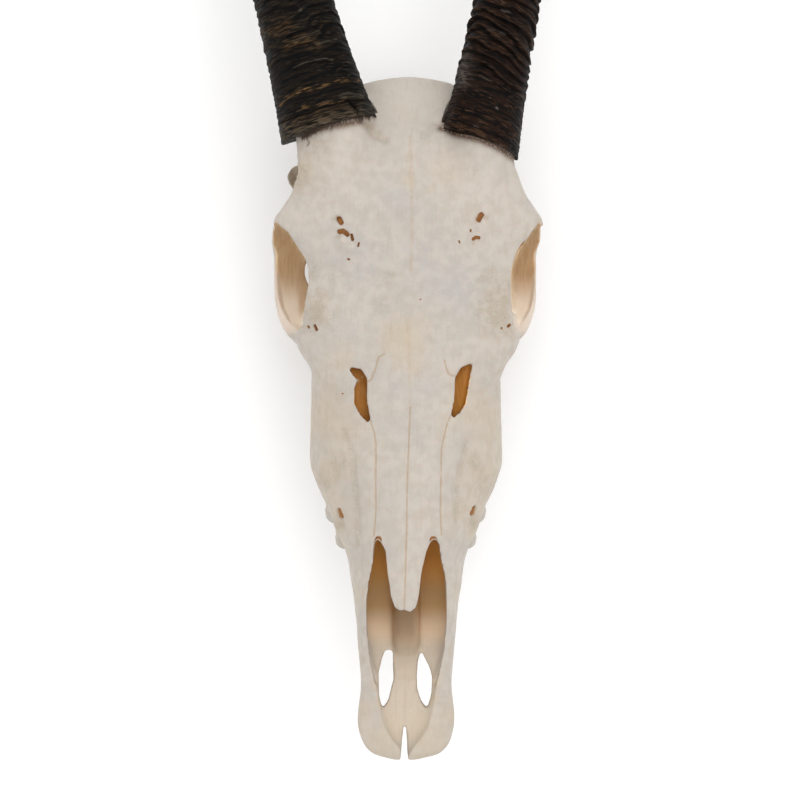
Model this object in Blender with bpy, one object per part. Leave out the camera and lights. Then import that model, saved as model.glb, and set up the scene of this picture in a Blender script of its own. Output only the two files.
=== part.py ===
"""Gemsbok skull with both horns, at life size, lying face up.

It rests on its two horn tips and the two bony prongs under the back of the skull.
X is across the skull, Y runs from the muzzle towards the horns, Z is up, in metres.
The tables below are in millimetres, in the same axes, with Y counted from the muzzle tip.
"""

import math
from collections import namedtuple

import bmesh
import bpy
import numpy as np
from mathutils import Vector

MM = 0.001

# Driving sizes, in millimetres
SEAM_GAP = 0.32
FORM_VOXEL = 1.7
BONE_VOXEL = 1.5
HOLLOW_VOXEL = 1.5
FORM_SMOOTHING = 8
EDGE_SMOOTHING = 2
SKULL_TRIANGLES = 7000
LEAN_AT_BROW = 0.045
LEAN_HEIGHT = 110.0
LEAN_START = 63.3
LEAN_LENGTH = 316.7

HORN_LENGTH = 850.0
HORN_SIDES = 14
HORN_TIP_RADIUS = 3.0
RING_SPACING = 15.0
RING_HEIGHT = 1.3
RINGED_SHARE = 0.5
ROOM_ROUND_HORN = 2.0

# Cross sections of a form: half width, height of its crown, of its widest line and of its base,
# and how square its upper and lower halves are (2 is an ellipse)
Station = namedtuple("Station", "reach half crown waist base crown_power base_power")

ROSTRUM = (
    Station(1.4, 7, 142, 138, 134, 2, 2),
    Station(4, 18.5, 144, 138, 131, 2, 2),
    Station(8, 24, 145, 138, 129, 2, 2),
    Station(15, 27.6, 145, 137, 127, 2, 2.3),
    Station(25, 29.3, 144, 136, 125, 2, 2.5),
    Station(47, 27.2, 147, 133, 119, 2, 2.5),
    Station(63, 28.4, 154, 129, 114, 2, 2.5),
    Station(92, 30.8, 165.5, 121, 104, 2, 2.5),
    Station(106, 33, 167, 118, 99, 2, 2.6),
    Station(122, 35.6, 167.5, 114, 92, 2, 3),
    Station(137, 42.3, 167, 110, 86, 2, 3),
    Station(150, 47, 166.5, 106, 80, 2, 3.2),
    Station(164, 53.6, 166, 103, 74, 2, 3.4),
    Station(180, 58, 165, 100, 68, 2, 3.4),
    Station(201, 57.6, 163.5, 98, 60, 2.1, 3.2),
    Station(228, 57, 161, 98, 50, 2.3, 2.8),
    Station(246, 55, 159, 104, 56, 2.6, 2.4),
    Station(262, 46, 157, 110, 74, 3, 2),
)
BROW = (
    Station(190, 40, 157, 110, 90, 2, 2),
    Station(210, 50, 158, 122, 100, 2.1, 2),
    Station(229, 56, 159, 132, 108, 2.3, 2),
    Station(247, 61, 159, 137, 112, 2.7, 2),
    Station(262, 61.5, 158.5, 140, 116, 3.2, 2),
    Station(290, 61, 157, 143, 122, 3.6, 2),
    Station(306, 65.5, 158, 143, 122, 3.4, 2),
    Station(320, 78, 160, 141, 118, 3, 2),
    Station(327, 76.5, 161, 140, 112, 2.8, 2),
    Station(336, 70.5, 161, 138, 104, 2.7, 2),
    Station(352, 64.5, 158, 134, 92, 2.6, 2),
    Station(370, 58, 149, 126, 84, 2.4, 2),
    Station(388, 47, 133, 112, 76, 2.2, 2),
    Station(403, 34, 118, 100, 72, 2, 2),
)
BRAINCASE = (
    Station(300, 20, 130, 90, 52, 2, 2),
    Station(318, 32, 140, 88, 34, 2.2, 2),
    Station(345, 44, 145, 84, 22, 2.3, 2.1),
    Station(372, 47, 140, 76, 20, 2.3, 2.2),
    Station(390, 43, 126, 75, 27, 2.3, 2.2),
    Station(402, 34, 113, 76, 42, 2.2, 2.2),
    Station(409, 22, 101, 78, 58, 2, 2),
)
EYE_WALL = (
    Station(228, 26, 140, 92, 50, 3, 2.2),
    Station(250, 25, 148, 92, 47, 3, 2.2),
    Station(290, 23, 148, 90, 44, 3, 2.2),
    Station(325, 27, 148, 86, 34, 3, 2.2),
)
# The air passage behind the nose
NOSE_TUNNEL = (
    Station(50, 17, 150, 140, 130, 3, 3),
    Station(66, 21.5, 152, 138, 125, 2.4, 3),
    Station(92, 24, 160, 130, 114, 2.2, 3),
    Station(112, 23, 162.5, 128, 108, 2.2, 3),
    Station(128, 22.5, 163, 126, 103, 2.2, 2.6),
    Station(145, 24.5, 162.5, 126, 101, 2.1, 2.4),
    Station(165, 27, 161.5, 126, 101, 2, 2.2),
    Station(184, 28, 160.5, 140, 118, 2, 2.2),
    Station(198, 31, 159.5, 150, 144, 2, 2.2),
    Station(225, 34, 156.5, 148, 143.5, 2, 2.2),
    Station(238, 34, 154, 148, 143.5, 2, 2),
    Station(246, 16, 149, 147, 144, 2, 2),
)
# The floor in front of the nose, between the arms of the premaxillae
NOSE_BASIN = (
    Station(3, 1.5, 160, 152, 141, 2, 2),
    Station(8, 4.0, 160, 152, 139.5, 2, 2.2),
    Station(15, 10, 160, 152, 138, 2, 2.4),
    Station(24, 15.4, 160, 152, 136.5, 2, 2.6),
    Station(39, 18, 165, 154, 133, 2, 2.8),
    Station(52, 19.4, 168, 156, 130, 2, 3),
    Station(66, 21.5, 172, 158, 126, 2, 3),
    Station(80, 23, 175, 160, 119.5, 2, 3),
)
# The ridge along the middle of the nose floor
VOMER = (
    Station(60, 7, 126, 120, 112, 3, 2),
    Station(72, 8.3, 130, 118, 106, 3.5, 2),
    Station(100, 8, 124, 110, 98, 3.5, 2),
    Station(150, 6, 116, 100, 90, 3, 2),
)
PALATE_VAULT = (
    Station(60, 8, 112, 106, 100, 2, 2),
    Station(90, 17, 108, 98, 84, 2, 2),
    Station(137, 26, 89.5, 78, 64, 2.2, 2),
    Station(180, 30, 72.5, 60, 42, 2.2, 2),
    Station(215, 29, 60, 46, 24, 2.2, 2),
    Station(240, 22, 58, 42, 18, 2.2, 2),
    Station(268, 16, 58, 40, 14, 2, 2),
)

# Tubes: stops of (x, y, z, half width, half height), for the right side and mirrored
ZYGOMA = (
    (40, 222, 92, 9, 14),
    (47.5, 240, 96, 11, 18),
    (52.5, 251, 97, 11, 18),
    (61.5, 264, 95, 14, 17),
    (66, 278, 92, 13.5, 15),
    (66, 298, 91, 13.5, 14),
    (66.5, 316, 88, 13, 12),
    (63.5, 331, 80, 7.5, 8),
    (59.5, 346, 77, 7, 8),
    (46, 362, 75, 10, 11),
)
POST_ORBITAL_BAR = (
    (73, 306, 86, 7, 8),
    (75, 312, 104, 6, 8),
    (75.5, 318, 122, 5, 8),
    (73.5, 321, 139, 6, 9),
    (62, 326, 143, 9, 11),
)
LACRIMAL_BULGE = (
    (46, 236, 130, 10, 22),
    (57, 250, 126, 9, 24),
    (62, 260, 122, 6, 22),
)
CONDYLE = (
    (10, 380, 46, 8, 9),
    (18, 392, 41, 10, 13),
    (21, 393, 28, 9.5, 13),
    (17, 382, 16, 8, 9),
)
MASTOID_RIDGE = (
    (43, 392, 98, 5, 7),
    (47, 382, 80, 5, 9),
    (45, 372, 62, 6, 10),
    (41, 362, 46, 5, 9),
)
EAR_TUBE = (
    (34, 352, 56, 8, 8),
    (45, 355, 62, 6.5, 6.5),
    (52, 357, 66, 5.5, 5.5),
)
PARACONDYLAR = (
    (40, 366, 62, 9, 12),
    (41, 356, 44, 7, 11),
    (40, 346, 26, 5.5, 9),
    (38, 339, 9, 4.5, 6.5),
    (37, 337, -4, 4, 4.5),
)
BULLA = (
    (26, 322, 40, 6, 6),
    (27, 328, 27, 9, 11),
    (27, 336, 22, 8, 10),
    (28, 346, 30, 6, 8),
)
PTERYGOID = (
    (16, 232, 52, 3.5, 12),
    (17, 256, 48, 3, 13),
    (17.5, 282, 48, 3, 12),
    (17, 306, 50, 3.5, 10),
)
BASE_OF_SKULL = (
    (0, 262, 58, 6, 10),
    (0, 300, 44, 9, 10),
    (0, 330, 32, 13, 9),
    (0, 362, 24, 16, 9),
    (0, 380, 24, 15, 9),
)
NUCHAL_CREST = (
    (-47, 376, 88, 5, 8),
    (-40, 392, 96, 5, 7),
    (-24, 401, 105, 5.5, 8),
    (0, 404, 108, 6, 8),
    (22, 402, 105, 5.5, 8),
    (40, 392, 96, 5, 7),
    (47, 376, 88, 5, 8),
)

# Outlines seen from above, as (x, y)
NOSE_OPENING = (
    (-17, 134), (-14.5, 131), (-12.2, 126), (-11, 113.5), (-9, 100), (-7, 93.5), (-3.8, 91.2),
    (-1.4, 92.2), (2, 90.6), (5.5, 93.3), (7, 100.4), (8.8, 113.5), (11.6, 126), (14, 131.5),
    (16.5, 134.2), (19.4, 130.5), (20.4, 121.5), (22.9, 110.5), (23.7, 96), (23.7, 85),
    (22.4, 68), (18.9, 51.5), (17, 45), (8, 53), (-8, 53), (-17, 45), (-18.9, 48), (-21.9, 63.5),
    (-23.4, 78.5), (-23.7, 95.5), (-22.1, 108.5), (-19.7, 120.5), (-18.8, 131),
)
PALATINE_FISSURES = (
    ((-12.5, 66), (-8.2, 66), (-8, 58.8), (-7.6, 49), (-11, 36), (-14.2, 31.2), (-16.4, 39),
     (-16.7, 51.8), (-14.6, 61)),
    ((8.8, 66.3), (13.9, 55.8), (15.4, 50), (15, 40), (12.4, 31), (8.8, 36), (6.4, 43),
     (6.2, 51), (6.7, 59)),
)
MUZZLE_NOTCH = (
    (-1, 27), (-2, 20), (-2.7, 14), (-3.1, 7), (-3.6, 1), (-4, -8), (1.6, -8), (1, 2), (0.6, 7),
    (0.4, 14), (-0.1, 20),
)
SIDE_GAPS = (
    ((-34.4, 236), (-30.5, 234), (-26.9, 233.7), (-23.3, 228), (-23.4, 214.5), (-20.8, 200.5),
     (-27.2, 207), (-30.5, 213), (-30.5, 222.5), (-28.6, 227), (-32.8, 232)),
    ((39.4, 237.5), (31.8, 234.6), (28.8, 229), (28.4, 215.5), (25.7, 203.5), (31.6, 208.5),
     (34.2, 213), (36.2, 224.5), (37.8, 231)),
)
NASAL_OUTLINES = {
    "nasal_left": (
        (-1.4, 84), (0, 141), (0.4, 165), (1.3, 189), (2.2, 211), (1.4, 245), (-1.2, 281),
        (-5, 275), (-12.8, 244), (-17, 240), (-21.5, 227), (-23.4, 214), (-20.8, 200.5),
        (-18.3, 187), (-18.3, 149), (-19.6, 134.5), (-16.5, 130), (-13.6, 84),
    ),
    "nasal_right": (
        (-1.4, 84), (13.6, 84), (16.6, 131), (20.8, 134.5), (20.2, 149), (20.6, 187),
        (22.8, 198), (25.7, 203.5), (28.4, 215.5), (27.6, 229), (23, 239.5), (17, 243.5),
        (8, 273), (-1.2, 281), (1.4, 245), (2.2, 211), (1.3, 189), (0.4, 165), (0, 141),
    ),
}
NASAL_DEPTH = 11.0
# The slab that holds the nasal bones: where it starts and ends, half its width and its top
NASAL_SLAB = (80, 285)
NASAL_SLAB_HALF = 60
NASAL_SLAB_TOP = 260

# Heights between which the openings are cut downwards
ABOVE_ALL = 219.0
THROUGH_PALATE = 60.0
SOCKET_CUT_LOW = 40.0
NOSE_OPENING_LOW = 137.0
SIDE_GAP_LOW = 147.0
FLOOR_BLOCK = ((-200, -50, -60), (200, 460, 0))

# Small openings, each at the end of a gutter: where the gutter starts, where it ends, its radius
FORAMINA = (
    ((-38.8, 306, 160), (-36.6, 321, 151), 2.9),
    ((-39.7, 321.4, 166), (-39, 323.6, 150), 1.6),
    ((45, 315, 161), (44.4, 330, 152), 2.1),
    ((42.3, 308.6, 160.5), (41.8, 317, 153), 1.3),
    ((-43, 141, 141), (-34, 157, 127), 2.1),
    ((43, 142.5, 141), (35, 157, 128), 1.7),
)
FORAMEN_MAGNUM = ((0, 420, 46), (0, 352, 58), 12.0)
TEMPLE = {"centre": (61, 348, 100), "radii": (15, 15, 22)}
# A slot behind the eye socket, which shows on the left
SOCKET_SLOTS = (
    {"centre": (-46.5, 293.5, 76), "radii": (14.6, 15, 44)},
    {"centre": (46, 293.5, 76), "radii": (11, 14, 44)},
)
# The bowl of an eye socket: its middle, its half sizes and how far up it is open
EYE_BOWL = {"centre": (46, 292, 128), "radii": (44, 42, 47)}
EYE_BOWL_TOP = 220.0
# The edge of the frontal bone over each socket, from back to front, seen from above
SOCKET_OUTLINES = (
    ((-100, 324), (-78.5, 322.5), (-70.4, 315.6), (-65, 306.6), (-60.2, 299.4), (-58, 293.4),
     (-57.8, 285), (-59.6, 274.2), (-61, 267), (-61.8, 260.5), (-64, 257), (-70, 255.2), (-100, 250)),
    ((100, 328), (80.6, 325.4), (77.8, 320.5), (73.5, 314.5), (68, 304.5), (64, 295.8), (63.4, 286),
     (64, 274.2), (65.2, 266), (66, 260), (69.5, 257), (75, 256), (100, 252)),
)
# A small lump on the left, below the horn
LUMP = {"centre": (-65, 351, 82), "radii": (6.7, 7.2, 10)}

# Cheek teeth from front to back: (y, outer face x, length, width, gum z)
TEETH = (
    (108, 31.5, 12.5, 9.5, 103),
    (121.5, 34.2, 14, 12, 97),
    (137, 43.2, 16, 15.5, 91),
    (154, 49.4, 20.5, 18.5, 83),
    (174, 52.4, 23, 20, 74),
    (196, 53.2, 23.5, 19.5, 65),
)
CROWN_HEIGHT = 14.0
ROOT_DEPTH = 16.0
# Rings of a tooth: depth below the gum and share of its size; how square it is, and its fold
TOOTH_RINGS = ((-ROOT_DEPTH, 0.86), (0, 0.94), (5, 1.0), (CROWN_HEIGHT, 0.97))
TOOTH_POWER = 3
TOOTH_FOLD = 0.13
PALATE_SLOPE = math.radians(22)

# Seams between the bones
PALATE_SEAM = 69.0
RIM_SEAM = ((18.4, 129), (21, 127), (33, 74), (45, 66))
MIDLINE = ((-1.4, -30), (-1.4, 91), (0, 141), (0.4, 165), (2.2, 211), (-1.2, 281), (3.4, 314), (2.2, 420))
MAXILLA_END = 229.0
FRONTAL_START = 199.0
FRONTAL_FLOOR = 99.0
FRONTAL_END = 382.0
ARCH_BOX = ((56.5, 241, 40), (100, 345, 131))
# How far the blocks that part the bones reach: ahead of the muzzle, sideways, down and up
BLOCK_FRONT = -20
BLOCK_SIDE = 120
BLOCK_LOW = -50
BLOCK_HIGH = 300

# Base centre, radii across and deep, flare of the sheath at its base, lean from the midline in
# degrees, how much that lean changes towards the tip, and how far its rings run aslant
Horn = namedtuple("Horn", "x y z across deep flare lean bend slant")
HORNS = {
    "horn_left": Horn(-46.8, 378.4, 135, 23.2, 24, 5.7, -15.7, 4.5, 0.0),
    "horn_right": Horn(44.5, 370.8, 135, 19.6, 23, 3.7, 11.0, -1.5, 0.2),
}
BACKWARD_CURVE = 0.3
PEDICLE_SET_IN = 5.0
PEDICLE_EDGE = 66.0
PEDICLE_SHIFT = 1.8
# Stops of a pedicle: share of its place across, how far behind and above the horn's mouth, and
# shares of its width and depth
PEDICLE_STOPS = ((0.8, -52, 8, 0.8, 0.7), (0.95, -28, 5, 0.95, 0.9), (1, 0, 0, 1, 1), (1.08, 16, -2, 1, 1))
FLARE_LENGTH = 45.0
HORN_TAPER = 0.93
HORN_STEPS = 400
ROOM_PLACES = (0.0, 45.0, 90.0)

MATERIALS = {
    "bone": ((0.66, 0.60, 0.52), 0.55),
    "horn": ((0.035, 0.026, 0.022), 0.5),
}


def clear_scene():
    for piece in list(bpy.data.objects):
        bpy.data.objects.remove(piece, do_unlink=True)


def smooth_through(keys, values, places):
    """Values on a smooth curve through the keys, which never swings past them."""
    keys = np.asarray(keys, float)
    values = np.asarray(values, float)
    slopes = np.diff(values, axis=0) / np.diff(keys)[:, None]
    tangents = np.zeros_like(values)
    product = slopes[:-1] * slopes[1:]
    total = slopes[:-1] + slopes[1:]
    same_way = product > 0
    tangents[1:-1] = np.where(same_way, 2 * product / np.where(same_way, total, 1), 0)
    tangents[0] = slopes[0]
    tangents[-1] = slopes[-1]
    span = np.clip(np.searchsorted(keys, places, side="right") - 1, 0, len(keys) - 2)
    width = (keys[span + 1] - keys[span])[:, None]
    t = (np.asarray(places)[:, None] - keys[span][:, None]) / width
    return (
        values[span] * (1 + 2 * t) * (1 - t) ** 2
        + tangents[span] * width * t * (1 - t) ** 2
        + values[span + 1] * t**2 * (3 - 2 * t)
        + tangents[span + 1] * width * t**2 * (t - 1)
    )


def new_piece(name, bm):
    """An object from a bmesh, with its faces turned outwards."""
    bmesh.ops.recalc_face_normals(bm, faces=bm.faces)
    mesh = bpy.data.meshes.new(name)
    bm.to_mesh(mesh)
    bm.free()
    piece = bpy.data.objects.new(name, mesh)
    bpy.context.scene.collection.objects.link(piece)
    return piece


def skin_rings(name, rings):
    """A closed skin over rings of equally many points, given in millimetres."""
    bm = bmesh.new()
    loops = [[bm.verts.new(Vector(point) * MM) for point in ring] for ring in rings]
    count = len(loops[0])
    for lower, upper in zip(loops, loops[1:]):
        for i in range(count):
            j = (i + 1) % count
            bm.faces.new((lower[i], lower[j], upper[j], upper[i]))
    bm.faces.new(loops[0])
    bm.faces.new(loops[-1])
    return new_piece(name, bm)


def rounded(value, power):
    return math.copysign(abs(value) ** (2 / power), value)


def section(station, sides):
    """One ring of a form, across the skull."""
    ring = []
    for step in range(sides):
        angle = math.tau * step / sides
        upper = math.sin(angle) >= 0
        power = station.crown_power if upper else station.base_power
        rise = station.crown - station.waist if upper else station.waist - station.base
        x = station.half * rounded(math.cos(angle), power)
        z = station.waist + rise * rounded(math.sin(angle), power)
        ring.append((x, station.reach, z))
    return ring


def form(name, stations, spacing=3.0, sides=64):
    """A closed form swept along the skull through its stations."""
    keys = [station.reach for station in stations]
    places = np.linspace(keys[0], keys[-1], int((keys[-1] - keys[0]) / spacing) + 2)
    values = smooth_through(keys, [station[1:] for station in stations], places)
    rings = [section(Station(y, *row), sides) for y, row in zip(places, values)]
    return skin_rings(name, rings)


def tube(name, stops, side=1, rings=28, sides=20):
    """A closed tube through its stops, mirrored where side is -1."""
    stops = np.array(stops, float)
    stops[:, 0] *= side
    steps = np.linalg.norm(np.diff(stops[:, :3], axis=0), axis=1)
    keys = np.concatenate(([0], np.cumsum(steps)))
    rows = smooth_through(keys, stops, np.linspace(0, keys[-1], rings))
    loops = []
    for index, row in enumerate(rows):
        ahead = rows[min(index + 1, rings - 1)][:3] - rows[max(index - 1, 0)][:3]
        ahead = Vector(ahead).normalized()
        flat = ahead.cross(Vector((0, 0, 1)))
        if flat.length < 0.3:
            flat = ahead.cross(Vector((0, 1, 0)))
        flat.normalize()
        lift = flat.cross(ahead)
        centre = Vector(row[:3])
        loop = []
        for step in range(sides):
            angle = math.tau * step / sides
            loop.append(centre + flat * row[3] * math.cos(angle) + lift * row[4] * math.sin(angle))
        loops.append(loop)
    return skin_rings(name, loops)


def both_sides(name, stops):
    return [tube(f"{name}_{side}", stops, side) for side in (-1, 1)]


def ellipsoid(name, centre, radii, side=1):
    bm = bmesh.new()
    bmesh.ops.create_uvsphere(bm, u_segments=40, v_segments=24, radius=1)
    for vert in bm.verts:
        for axis in range(3):
            offset = centre[axis] * (side if axis == 0 else 1)
            vert.co[axis] = (vert.co[axis] * radii[axis] + offset) * MM
    return new_piece(name, bm)


def prism(name, outline, low, high):
    """A wall-sided block over an outline seen from above."""
    bm = bmesh.new()
    foot = bm.faces.new([bm.verts.new((x * MM, y * MM, low * MM)) for x, y in outline])
    grown = bmesh.ops.extrude_face_region(bm, geom=[foot])
    top = [item for item in grown["geom"] if isinstance(item, bmesh.types.BMVert)]
    bmesh.ops.translate(bm, verts=top, vec=(0, 0, (high - low) * MM))
    bmesh.ops.triangulate(bm, faces=bm.faces)
    return new_piece(name, bm)


def box(name, low, high):
    outline = ((low[0], low[1]), (high[0], low[1]), (high[0], high[1]), (low[0], high[1]))
    return prism(name, outline, low[2], high[2])


def drill(name, mouth, end, radius, sides=14):
    """A round hole from its mouth to its end."""
    start = Vector(mouth)
    way = (Vector(end) - start).normalized()
    flat = way.orthogonal().normalized()
    lift = way.cross(flat)
    rings = []
    for centre in (start, Vector(end)):
        angles = [math.tau * step / sides for step in range(sides)]
        rings.append([centre + (flat * math.cos(a) + lift * math.sin(a)) * radius for a in angles])
    return skin_rings(name, rings)


def tooth(name, place, side, sides=24):
    """A cheek tooth with two lobes, from its root to its worn crown."""
    y, outer, length, width, gum = place
    axis = Vector((0, -math.sin(PALATE_SLOPE), -math.cos(PALATE_SLOPE)))
    ahead = Vector((0, math.cos(PALATE_SLOPE), -math.sin(PALATE_SLOPE)))
    centre = Vector((outer - width / 2, y, gum))
    rings = []
    for depth, share in TOOTH_RINGS:
        ring = []
        for step in range(sides):
            angle = math.tau * step / sides
            along = rounded(math.cos(angle), TOOTH_POWER) * length / 2 * share
            across = rounded(math.sin(angle), TOOTH_POWER) * width / 2 * share
            across *= 1 - TOOTH_FOLD * math.cos(math.tau * along / length) ** 2
            point = centre + axis * depth + ahead * along
            ring.append((side * (point.x + across), point.y, point.z))
        rings.append(ring)
    return skin_rings(name, rings)


def settle(piece):
    """Keep the shape that a piece's modifiers give, and drop the modifiers."""
    graph = bpy.context.evaluated_depsgraph_get()
    mesh = bpy.data.meshes.new_from_object(piece.evaluated_get(graph))
    piece.modifiers.clear()
    old = piece.data
    piece.data = mesh
    bpy.data.meshes.remove(old)


def melt(name, pieces, voxel, smoothing):
    """One closed body from overlapping pieces, with soft joins."""
    bm = bmesh.new()
    for piece in pieces:
        bm.from_mesh(piece.data)
        bpy.data.objects.remove(piece, do_unlink=True)
    body = new_piece(name, bm)
    remesh = body.modifiers.new("Melt", "REMESH")
    remesh.mode = "VOXEL"
    remesh.voxel_size = voxel * MM
    if smoothing:
        smooth = body.modifiers.new("Soften", "SMOOTH")
        smooth.iterations = smoothing
        smooth.factor = 0.5
    settle(body)
    return body


def combine(body, other, operation):
    """Cut a closed body with another one, or keep what they share."""
    cut = body.modifiers.new("Cut", "BOOLEAN")
    cut.object = other
    cut.operation = operation
    cut.solver = "MANIFOLD"
    settle(body)
    bpy.data.objects.remove(other, do_unlink=True)


def copy_of(piece, name):
    twin = bpy.data.objects.new(name, piece.data.copy())
    bpy.context.scene.collection.objects.link(twin)
    return twin


def keep_largest(piece):
    """Drop loose scraps: only the largest closed surface stays."""
    bm = bmesh.new()
    bm.from_mesh(piece.data)
    left = set(bm.verts)
    groups = []
    while left:
        group = {left.pop()}
        front = list(group)
        while front:
            near = {e.other_vert(v) for v in front for e in v.link_edges} & left
            left -= near
            group |= near
            front = list(near)
        groups.append(group)
    groups.sort(key=len)
    for group in groups[:-1]:
        bmesh.ops.delete(bm, geom=list(group), context="VERTS")
    bm.to_mesh(piece.data)
    bm.free()


def pedicle(horn):
    """The bony stump that carries a horn, a little narrower than the horn's mouth."""
    width = horn.across + horn.flare - PEDICLE_SET_IN
    depth = horn.deep + horn.flare - PEDICLE_SET_IN
    x = math.copysign(PEDICLE_EDGE - width, horn.x) - PEDICLE_SHIFT
    stops = [
        (x * across, horn.y + along, horn.z + up, width * wide, depth * deep)
        for across, along, up, wide, deep in PEDICLE_STOPS
    ]
    return tube("pedicle", stops)


def bone_forms():
    """Everything that is bone, before the hollows are cut."""
    forms = [
        form("rostrum", ROSTRUM),
        form("brow", BROW),
        form("braincase", BRAINCASE),
        form("eye_wall", EYE_WALL),
        tube("base", BASE_OF_SKULL),
        tube("crest", NUCHAL_CREST),
    ]
    for name, stops in (
        ("zygoma", ZYGOMA),
        ("bar", POST_ORBITAL_BAR),
        ("lacrimal", LACRIMAL_BULGE),
        ("condyle", CONDYLE),
        ("paracondylar", PARACONDYLAR),
        ("bulla", BULLA),
        ("mastoid", MASTOID_RIDGE),
        ("ear_tube", EAR_TUBE),
    ):
        forms += both_sides(name, stops)
    forms.append(ellipsoid("lump", LUMP["centre"], LUMP["radii"]))
    forms += [pedicle(horn) for horn in HORNS.values()]
    return forms


def teeth():
    return [tooth("tooth", place, side) for side in (-1, 1) for place in TEETH]


def hollows():
    """The nose, the eye sockets and the other large openings."""
    cuts = [
        form("nose_tunnel", NOSE_TUNNEL),
        form("nose_basin", NOSE_BASIN),
        form("palate_vault", PALATE_VAULT),
        drill("foramen_magnum", *FORAMEN_MAGNUM, sides=28),
    ]
    cuts += [ellipsoid("temple", TEMPLE["centre"], TEMPLE["radii"], side) for side in (-1, 1)]
    cuts += [ellipsoid("slot", slot["centre"], slot["radii"]) for slot in SOCKET_SLOTS]
    return cuts


def lean(body):
    """The skull leans a little to one side, more at the brow than at the muzzle."""
    for vert in body.data.vertices:
        share = (vert.co.y / MM - LEAN_START) / LEAN_LENGTH
        vert.co.x += LEAN_AT_BROW * share * (vert.co.z - LEAN_HEIGHT * MM)


def eye_bowl(side, steps=16, sides=48):
    """The bowl of an eye socket, open upwards."""
    (x, y, z), (across, along, depth) = EYE_BOWL["centre"], EYE_BOWL["radii"]
    levels = []
    for step in range(1, steps + 1):
        share = math.sin(math.pi / 2 * step / steps)
        levels.append((share, z - depth * math.sqrt(1 - share**2)))
    levels.append((1, EYE_BOWL_TOP))
    loops = []
    for share, height in levels:
        loop = []
        for angle in even_angles(sides):
            across_here = side * x + across * share * math.cos(angle)
            loop.append((across_here, y + along * share * math.sin(angle), height))
        loops.append(loop)
    return skin_rings("eye_bowl", loops)


def carve_outlines(body):
    """Openings whose outline shows from above."""
    for side, outline in zip((-1, 1), SOCKET_OUTLINES):
        socket = prism("socket", outline, SOCKET_CUT_LOW, ABOVE_ALL)
        combine(socket, eye_bowl(side), "INTERSECT")
        combine(body, socket, "DIFFERENCE")
    combine(body, prism("nose_opening", NOSE_OPENING, NOSE_OPENING_LOW, ABOVE_ALL), "DIFFERENCE")
    for outline in (*PALATINE_FISSURES, MUZZLE_NOTCH):
        combine(body, prism("through", outline, THROUGH_PALATE, ABOVE_ALL), "DIFFERENCE")
    for outline in SIDE_GAPS:
        combine(body, prism("side_gap", outline, SIDE_GAP_LOW, ABOVE_ALL), "DIFFERENCE")


def thin_out(body, triangles):
    """Fewer triangles, with the shape kept."""
    count = sum(len(face.vertices) - 2 for face in body.data.polygons)
    fewer = body.modifiers.new("Fewer", "DECIMATE")
    fewer.ratio = min(1, triangles / count)
    fewer.use_collapse_triangulate = True
    settle(body)


def whole_skull():
    """The bone as one closed body, in its pose."""
    body = melt("skull", bone_forms(), FORM_VOXEL, FORM_SMOOTHING)
    plates = [*both_sides("pterygoid", PTERYGOID), *teeth()]
    body = melt("skull", [body, *plates], BONE_VOXEL, EDGE_SMOOTHING)
    combine(body, melt("hollows", hollows(), HOLLOW_VOXEL, 0), "DIFFERENCE")
    combine(body, form("vomer", VOMER), "UNION")
    lean(body)
    carve_outlines(body)
    body = melt("skull", [body], BONE_VOXEL, EDGE_SMOOTHING)
    thin_out(body, SKULL_TRIANGLES)
    combine(body, box("floor", *FLOOR_BLOCK), "DIFFERENCE")
    for hole in FORAMINA:
        combine(body, drill("foramen", *hole), "DIFFERENCE")
    keep_largest(body)
    return body


def grown(outline, distance):
    """An outline moved outwards by a distance, or inwards where it is negative."""
    points = [Vector(point) for point in outline]
    area = sum(a.x * b.y - b.x * a.y for a, b in zip(points, points[1:] + points[:1]))
    turn = math.copysign(1, area)
    moved = []
    for index, point in enumerate(points):
        before = (point - points[index - 1]).normalized()
        after = (points[(index + 1) % len(points)] - point).normalized()
        outward = Vector((before.y + after.y, -before.x - after.x)) * turn
        outward.normalize()
        square = outward.dot(Vector((before.y, -before.x)) * turn)
        moved.append(tuple(point + outward * distance / max(square, 0.4)))
    return moved


def part_off(body, name, make_region):
    """Take the bone inside a region away as a piece of its own, across a thin gap."""
    piece = copy_of(body, name)
    combine(piece, make_region(-SEAM_GAP / 2), "INTERSECT")
    combine(body, make_region(SEAM_GAP / 2), "DIFFERENCE")
    keep_largest(piece)
    return piece


def region_of(outline, low, high):
    def make(distance):
        return prism("region", grown(outline, distance), low - distance, high + distance)

    return make


def nasal_region(outline):
    """The plate of a nasal bone: it follows the face profile down to its own depth."""
    keys = [station.reach for station in ROSTRUM]
    crowns = [[station.crown] for station in ROSTRUM]

    def make(distance):
        block = prism("region", grown(outline, distance), 0, ABOVE_ALL)
        places = np.linspace(*NASAL_SLAB, 14)
        tops = smooth_through(keys, crowns, np.minimum(places, keys[-1]))[:, 0]
        rings = []
        for y, top in zip(places, tops):
            low = top - NASAL_DEPTH - distance
            corners = ((-1, NASAL_SLAB_TOP), (1, NASAL_SLAB_TOP), (1, low), (-1, low))
            rings.append([(side * NASAL_SLAB_HALF, y, z) for side, z in corners])
        combine(block, skin_rings("slab", rings), "INTERSECT")
        return block

    return make


def half_outline(side, low, high):
    """The half of the plan on one side of the midline, between two places along it."""
    keys = [y for _, y in MIDLINE]
    xs = [[x] for x, _ in MIDLINE]
    inner = [low, *[y for y in keys if low < y < high], high]
    values = smooth_through(keys, xs, np.array(inner, float))[:, 0]
    points = list(zip(values, inner))
    return points + [(side * BLOCK_SIDE, high), (side * BLOCK_SIDE, low)]


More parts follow.
